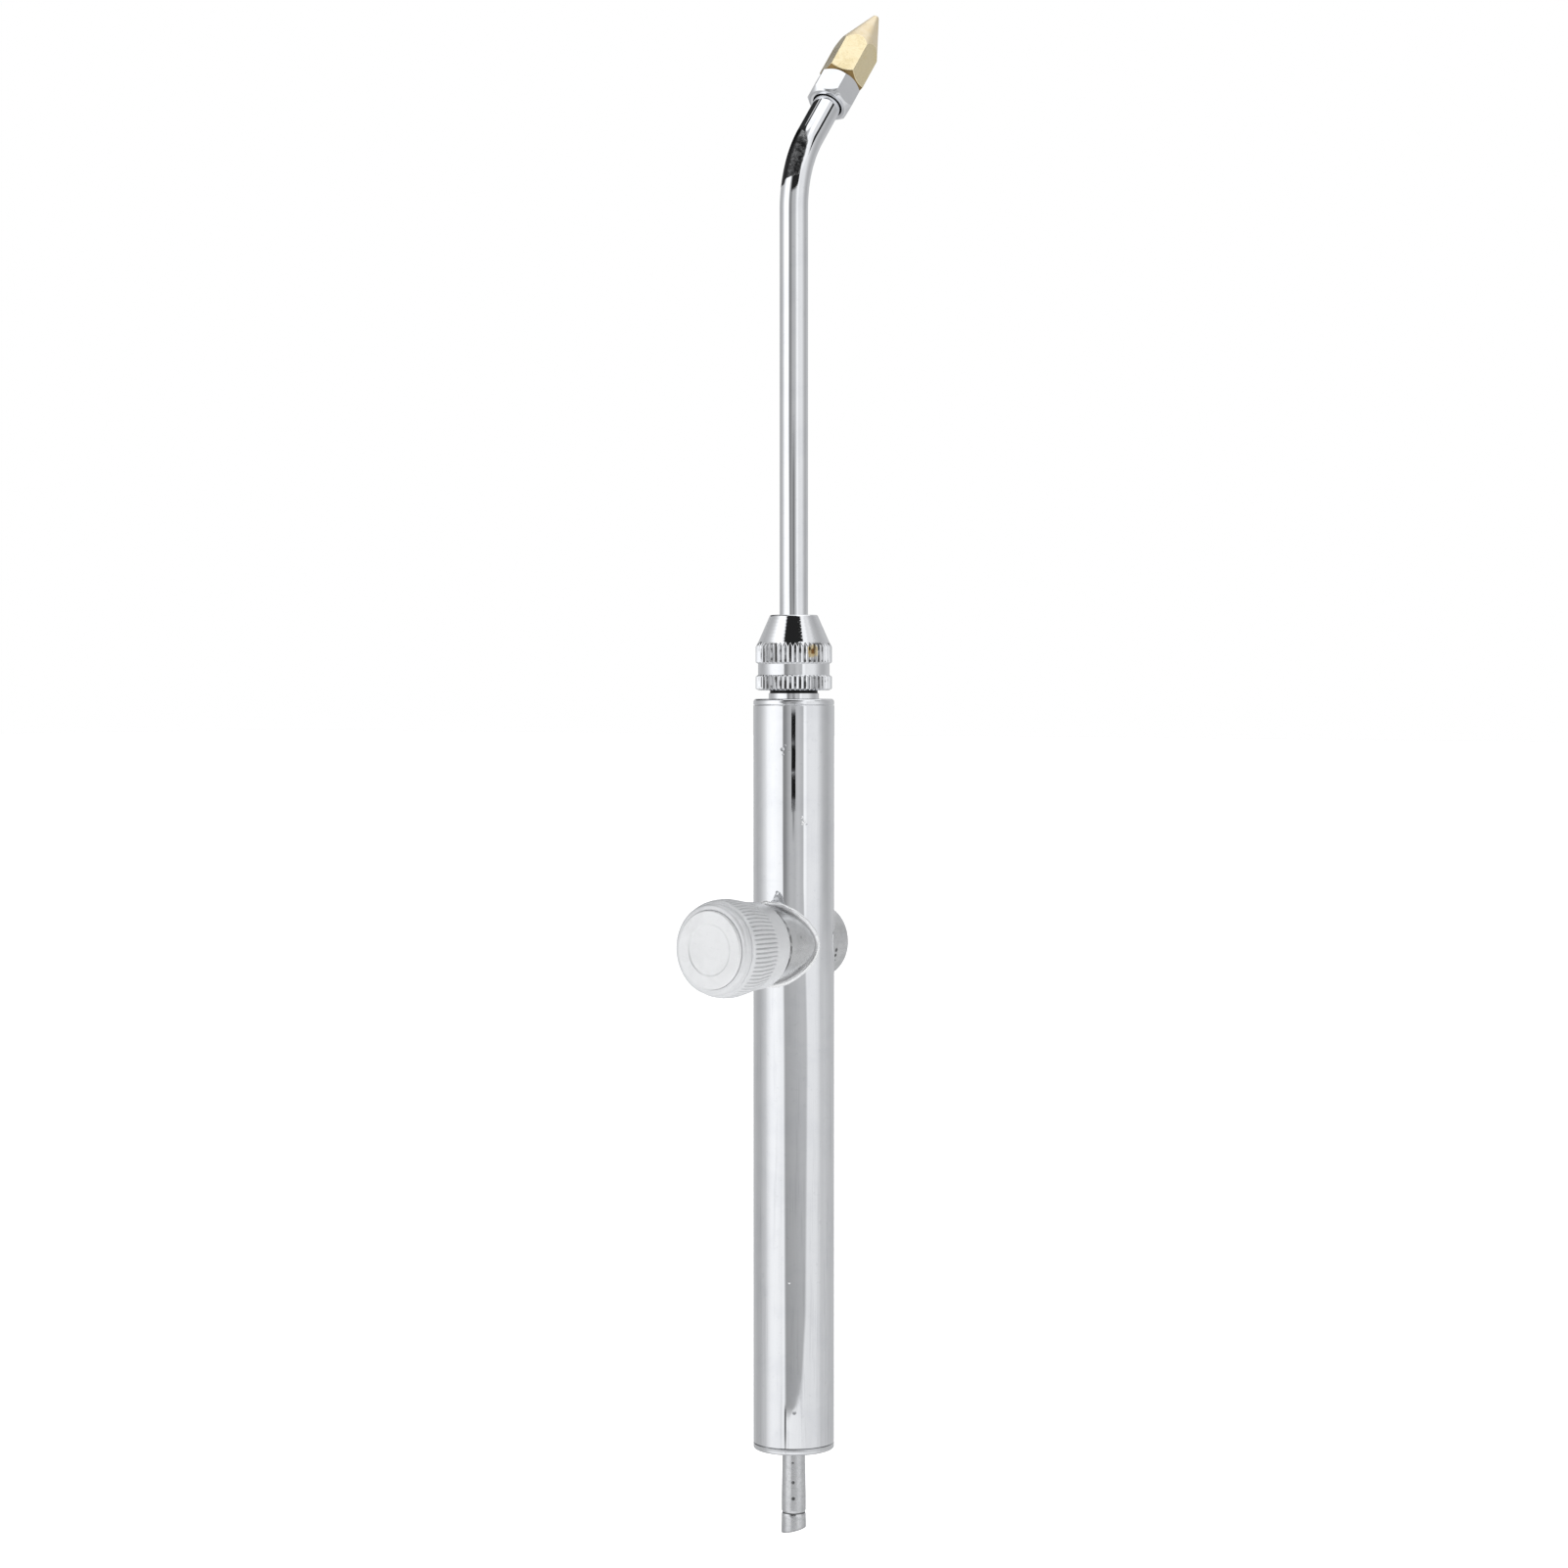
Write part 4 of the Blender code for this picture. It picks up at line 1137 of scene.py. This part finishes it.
def adapter_rows(radius):
    foot = -5.9 + (radius - 3.75) * 1.3
    head = -(radius - 3.9) * 1.05
    rows = [(2.80, -5.5), (2.95, -5.87), (3.02, -5.9), (3.68, -5.9), (3.75, -5.885),
            (3.75 + (radius - 3.75) * 0.5, -5.9 + (foot + 5.9) * 0.5),
            (radius - 0.04, foot - 0.04), (radius, foot + 0.03), (radius, foot + 0.10),
            (radius, foot + 0.16), (radius, 0.5 * (foot + head)), (radius, head - 0.16),
            (radius, head - 0.10), (radius, head - 0.03), (radius - 0.03, head),
            (3.9 + (radius - 3.9) * 0.4, head * 0.4), (3.84, -0.005), (3.78, 0.0),
            (2.45, 0.0), (2.35, 0.02), (2.35, 4.7), (2.05, 5.0), (1.5, 5.0),
            (1.5, -2.8), (2.80, -2.8)]
    return rows


chrome_hex = chrome("chrome_hex", rough=0.06, wave=3.0, wave_size=3.0, grain=1.0, haze=0.04)
# painted shade: dark grey chrome in the adapter's countersink, where the neck enters
countersink_shade = chrome("countersink_shade", rough=0.30, wave=3.0, wave_size=1.0, grain=1.5, haze=0.10,
                    tint=(0.26, 0.26, 0.265))
verts, faces, _ = hex_piece(hexagon(8.0, 21.0, 0.16), adapter_rows)
piece("tip_adapter_fine", verts, faces, at_tip, "neck", [chrome_hex, countersink_shade],
      ["tip_adapter"], sharp=28.0, material_of=lambda i: 1 if i // _ == 0 else 0)

NOZZLE_LEN, KINK, END_R = 18.8, 8.3, 0.62
SLOPE = (7.7 / math.sqrt(3.0) - END_R) / (NOZZLE_LEN - KINK)


def nozzle_rows(radius):
    foot = 0.1 + (radius - 3.45)
    cone = NOZZLE_LEN - (radius - END_R) / SLOPE

    def cone_at(t):
        h = cone + (NOZZLE_LEN - 0.1 - cone) * t
        return (END_R + (NOZZLE_LEN - h) * SLOPE, h)

    rows = [(3.3, 0.1), (3.40, 0.1), (3.46, 0.115),
            (3.46 + (radius - 3.46) * 0.5, 0.115 + (foot - 0.115) * 0.5),
            (radius - 0.05, foot - 0.05), (radius - 0.008, foot + 0.01),
            (radius, foot + 0.05), (radius, foot + 0.11),
            (radius, foot + (cone - foot) * 0.5), (radius, cone - 0.16), (radius, cone - 0.09),
            (radius - 0.004, cone + 0.01), cone_at(0.012), cone_at(0.02), cone_at(0.2), cone_at(0.4),
            cone_at(0.6), cone_at(0.8), cone_at(0.97), cone_at(1.0), (END_R - 0.02, NOZZLE_LEN - 0.02),
            (END_R - 0.10, NOZZLE_LEN), (0.33, NOZZLE_LEN), (0.30, NOZZLE_LEN - 0.04), (0.30, 16.6),
            (2.5, 6.2), (2.5, 0.75), (3.3, 0.75)]
    return rows


brass_turned = brass("brass_turned", "turned", rough=0.34)
brass_milled = brass("brass_milled", "milled", tint=(0.98, 0.85, 0.56), rough=0.15)
# painted shade: dark brown brass for the nozzle's base chamfer
brass_chamfer_shade = brass("brass_chamfer_shade", "milled", tint=(0.30, 0.20, 0.08), rough=0.34)
verts, faces, around = hex_piece(hexagon(7.7, 32.2, 0.13), nozzle_rows)
piece("nozzle_fine", verts, faces, at_tip, "nozzle",
      [brass_turned, brass_milled, brass_chamfer_shade], ["nozzle"], sharp=28.0,
      material_of=lambda i: 1 if 4 <= i // around <= 10 else 2 if i // around <= 3 else 0)

# -------------------------------------------------------------------- the knob
RIBS, RIB_DEPTH = 66, 0.30
side_satin = satin("knob_satin_side", tint=(0.765, 0.772, 0.782), rough=0.42, ribs=RIBS)
# painted light: the cap's face is given a paler tint than the knob's side
lit_face_satin = satin("knob_satin_face_lit", tint=(0.84, 0.845, 0.85), rough=0.40, rings=True)


def knob_shape(r, h, a):
    """Fine straight ribs with narrow grooves between them, tapered at both ends."""
    if r < 8.3 or not 15.75 < h < 23.42:
        return r
    into = min((h - 15.75) / 0.6, (23.42 - h) / 0.35, 1.0)
    into = max(into, 0.0)
    phase = (a * RIBS / TAU) % 1.0
    away = abs(phase - 0.5) * 2.0            # 0 in the middle of a groove, 1 on the rib's crest
    width = 0.60 * (0.45 + 0.55 * into)
    t = min(away / width, 1.0)
    groove = 0.5 + 0.5 * math.cos(math.pi * t)
    return r - RIB_DEPTH * groove * into


def knob_outline():
    side = [(7.0, 11.7), (7.8, 11.7, 0.08), (8.15, 12.0, 0.2), (8.42, 15.62), (8.44, 15.78)]
    barrel = [(8.45, 15.85), (8.84, 18.0), (9.2, 20.4), (9.15, 22.1), (8.98, 23.3)]
    ribs = []
    for a, b in zip(barrel, barrel[1:]):
        for k in range(8):
            t = k / 8
            ribs.append((a[0] + (b[0] - a[0]) * t, a[1] + (b[1] - a[1]) * t))
    ribs = [q for q in ribs if q[1] < 22.95] + [
        (9.02, 23.0), (9.005, 23.1), (8.99, 23.2), (8.975, 23.3), (8.95, 23.38)]
    front = [(8.93, 23.44), (8.91, 23.5), (8.77, 23.92, 0.10), (8.62, 24.03), (8.50, 24.03),
             (8.50, 24.11), (8.55, 24.16, 0.03), (8.43, 25.0, 0.25), (8.15, 25.36, 0.20),
             (7.75, 25.5, 0.10), (7.40, 25.5, 0.03), (7.36, 25.45), (7.36, 24.8), (3.6, 24.8),
             (3.6, 16.0), (7.0, 16.0)]
    return rounded(side, steps=4) + ribs + rounded(front, steps=4)


verts, faces = lathe(knob_outline(), RIBS * 12, shape=knob_shape)
piece("knob_fine", verts, faces, towards_knob, "knob", [side_satin], ["knob"],
      sharp=40.0)

outline = rounded([
    (0.0, 24.9), (7.31, 24.9), (7.31, 25.8, 0.10), (7.09, 26.0, 0.10), (4.88, 26.0, 0.12),
    (4.62, 25.8, 0.16), (0.0, 25.8)], steps=5)
verts, faces = lathe(outline, 160, closed=False)
piece("knob_cap_fine", verts, faces, towards_knob, "knob", [lit_face_satin], ["knob_cap"],
      sharp=40.0)

# ------------------------------------------------ the pieces kept from the CAD
steel = plain_metal("steel_turned", (0.58, 0.59, 0.60), 0.26)
brass_inner = plain_metal("brass_inner", (0.84, 0.66, 0.36), 0.24)
copper = plain_metal("copper_soft", (0.80, 0.46, 0.33), 0.32)
packing = soft_stuff("packing_white", (0.80, 0.79, 0.75), 0.55, 0.93)
rubber = soft_stuff("rubber_black", (0.028, 0.028, 0.03), 0.55, 1.35)
kept = {
    "gland_packing": packing, "gland_washer": brass_inner, "gland_nut": brass_inner,
    "outlet_tube": brass_inner, "neck_seal": rubber, "valve_needle": steel, "spindle": steel,
    "knob_bush": brass_inner, "knob_screw": steel, "collet": brass_inner, "tip_gasket": copper,
}
for node, mat in kept.items():
    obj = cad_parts[node]
    if not obj.material_slots:
        obj.data.materials.append(mat)
    for place in obj.material_slots:
        place.material = mat
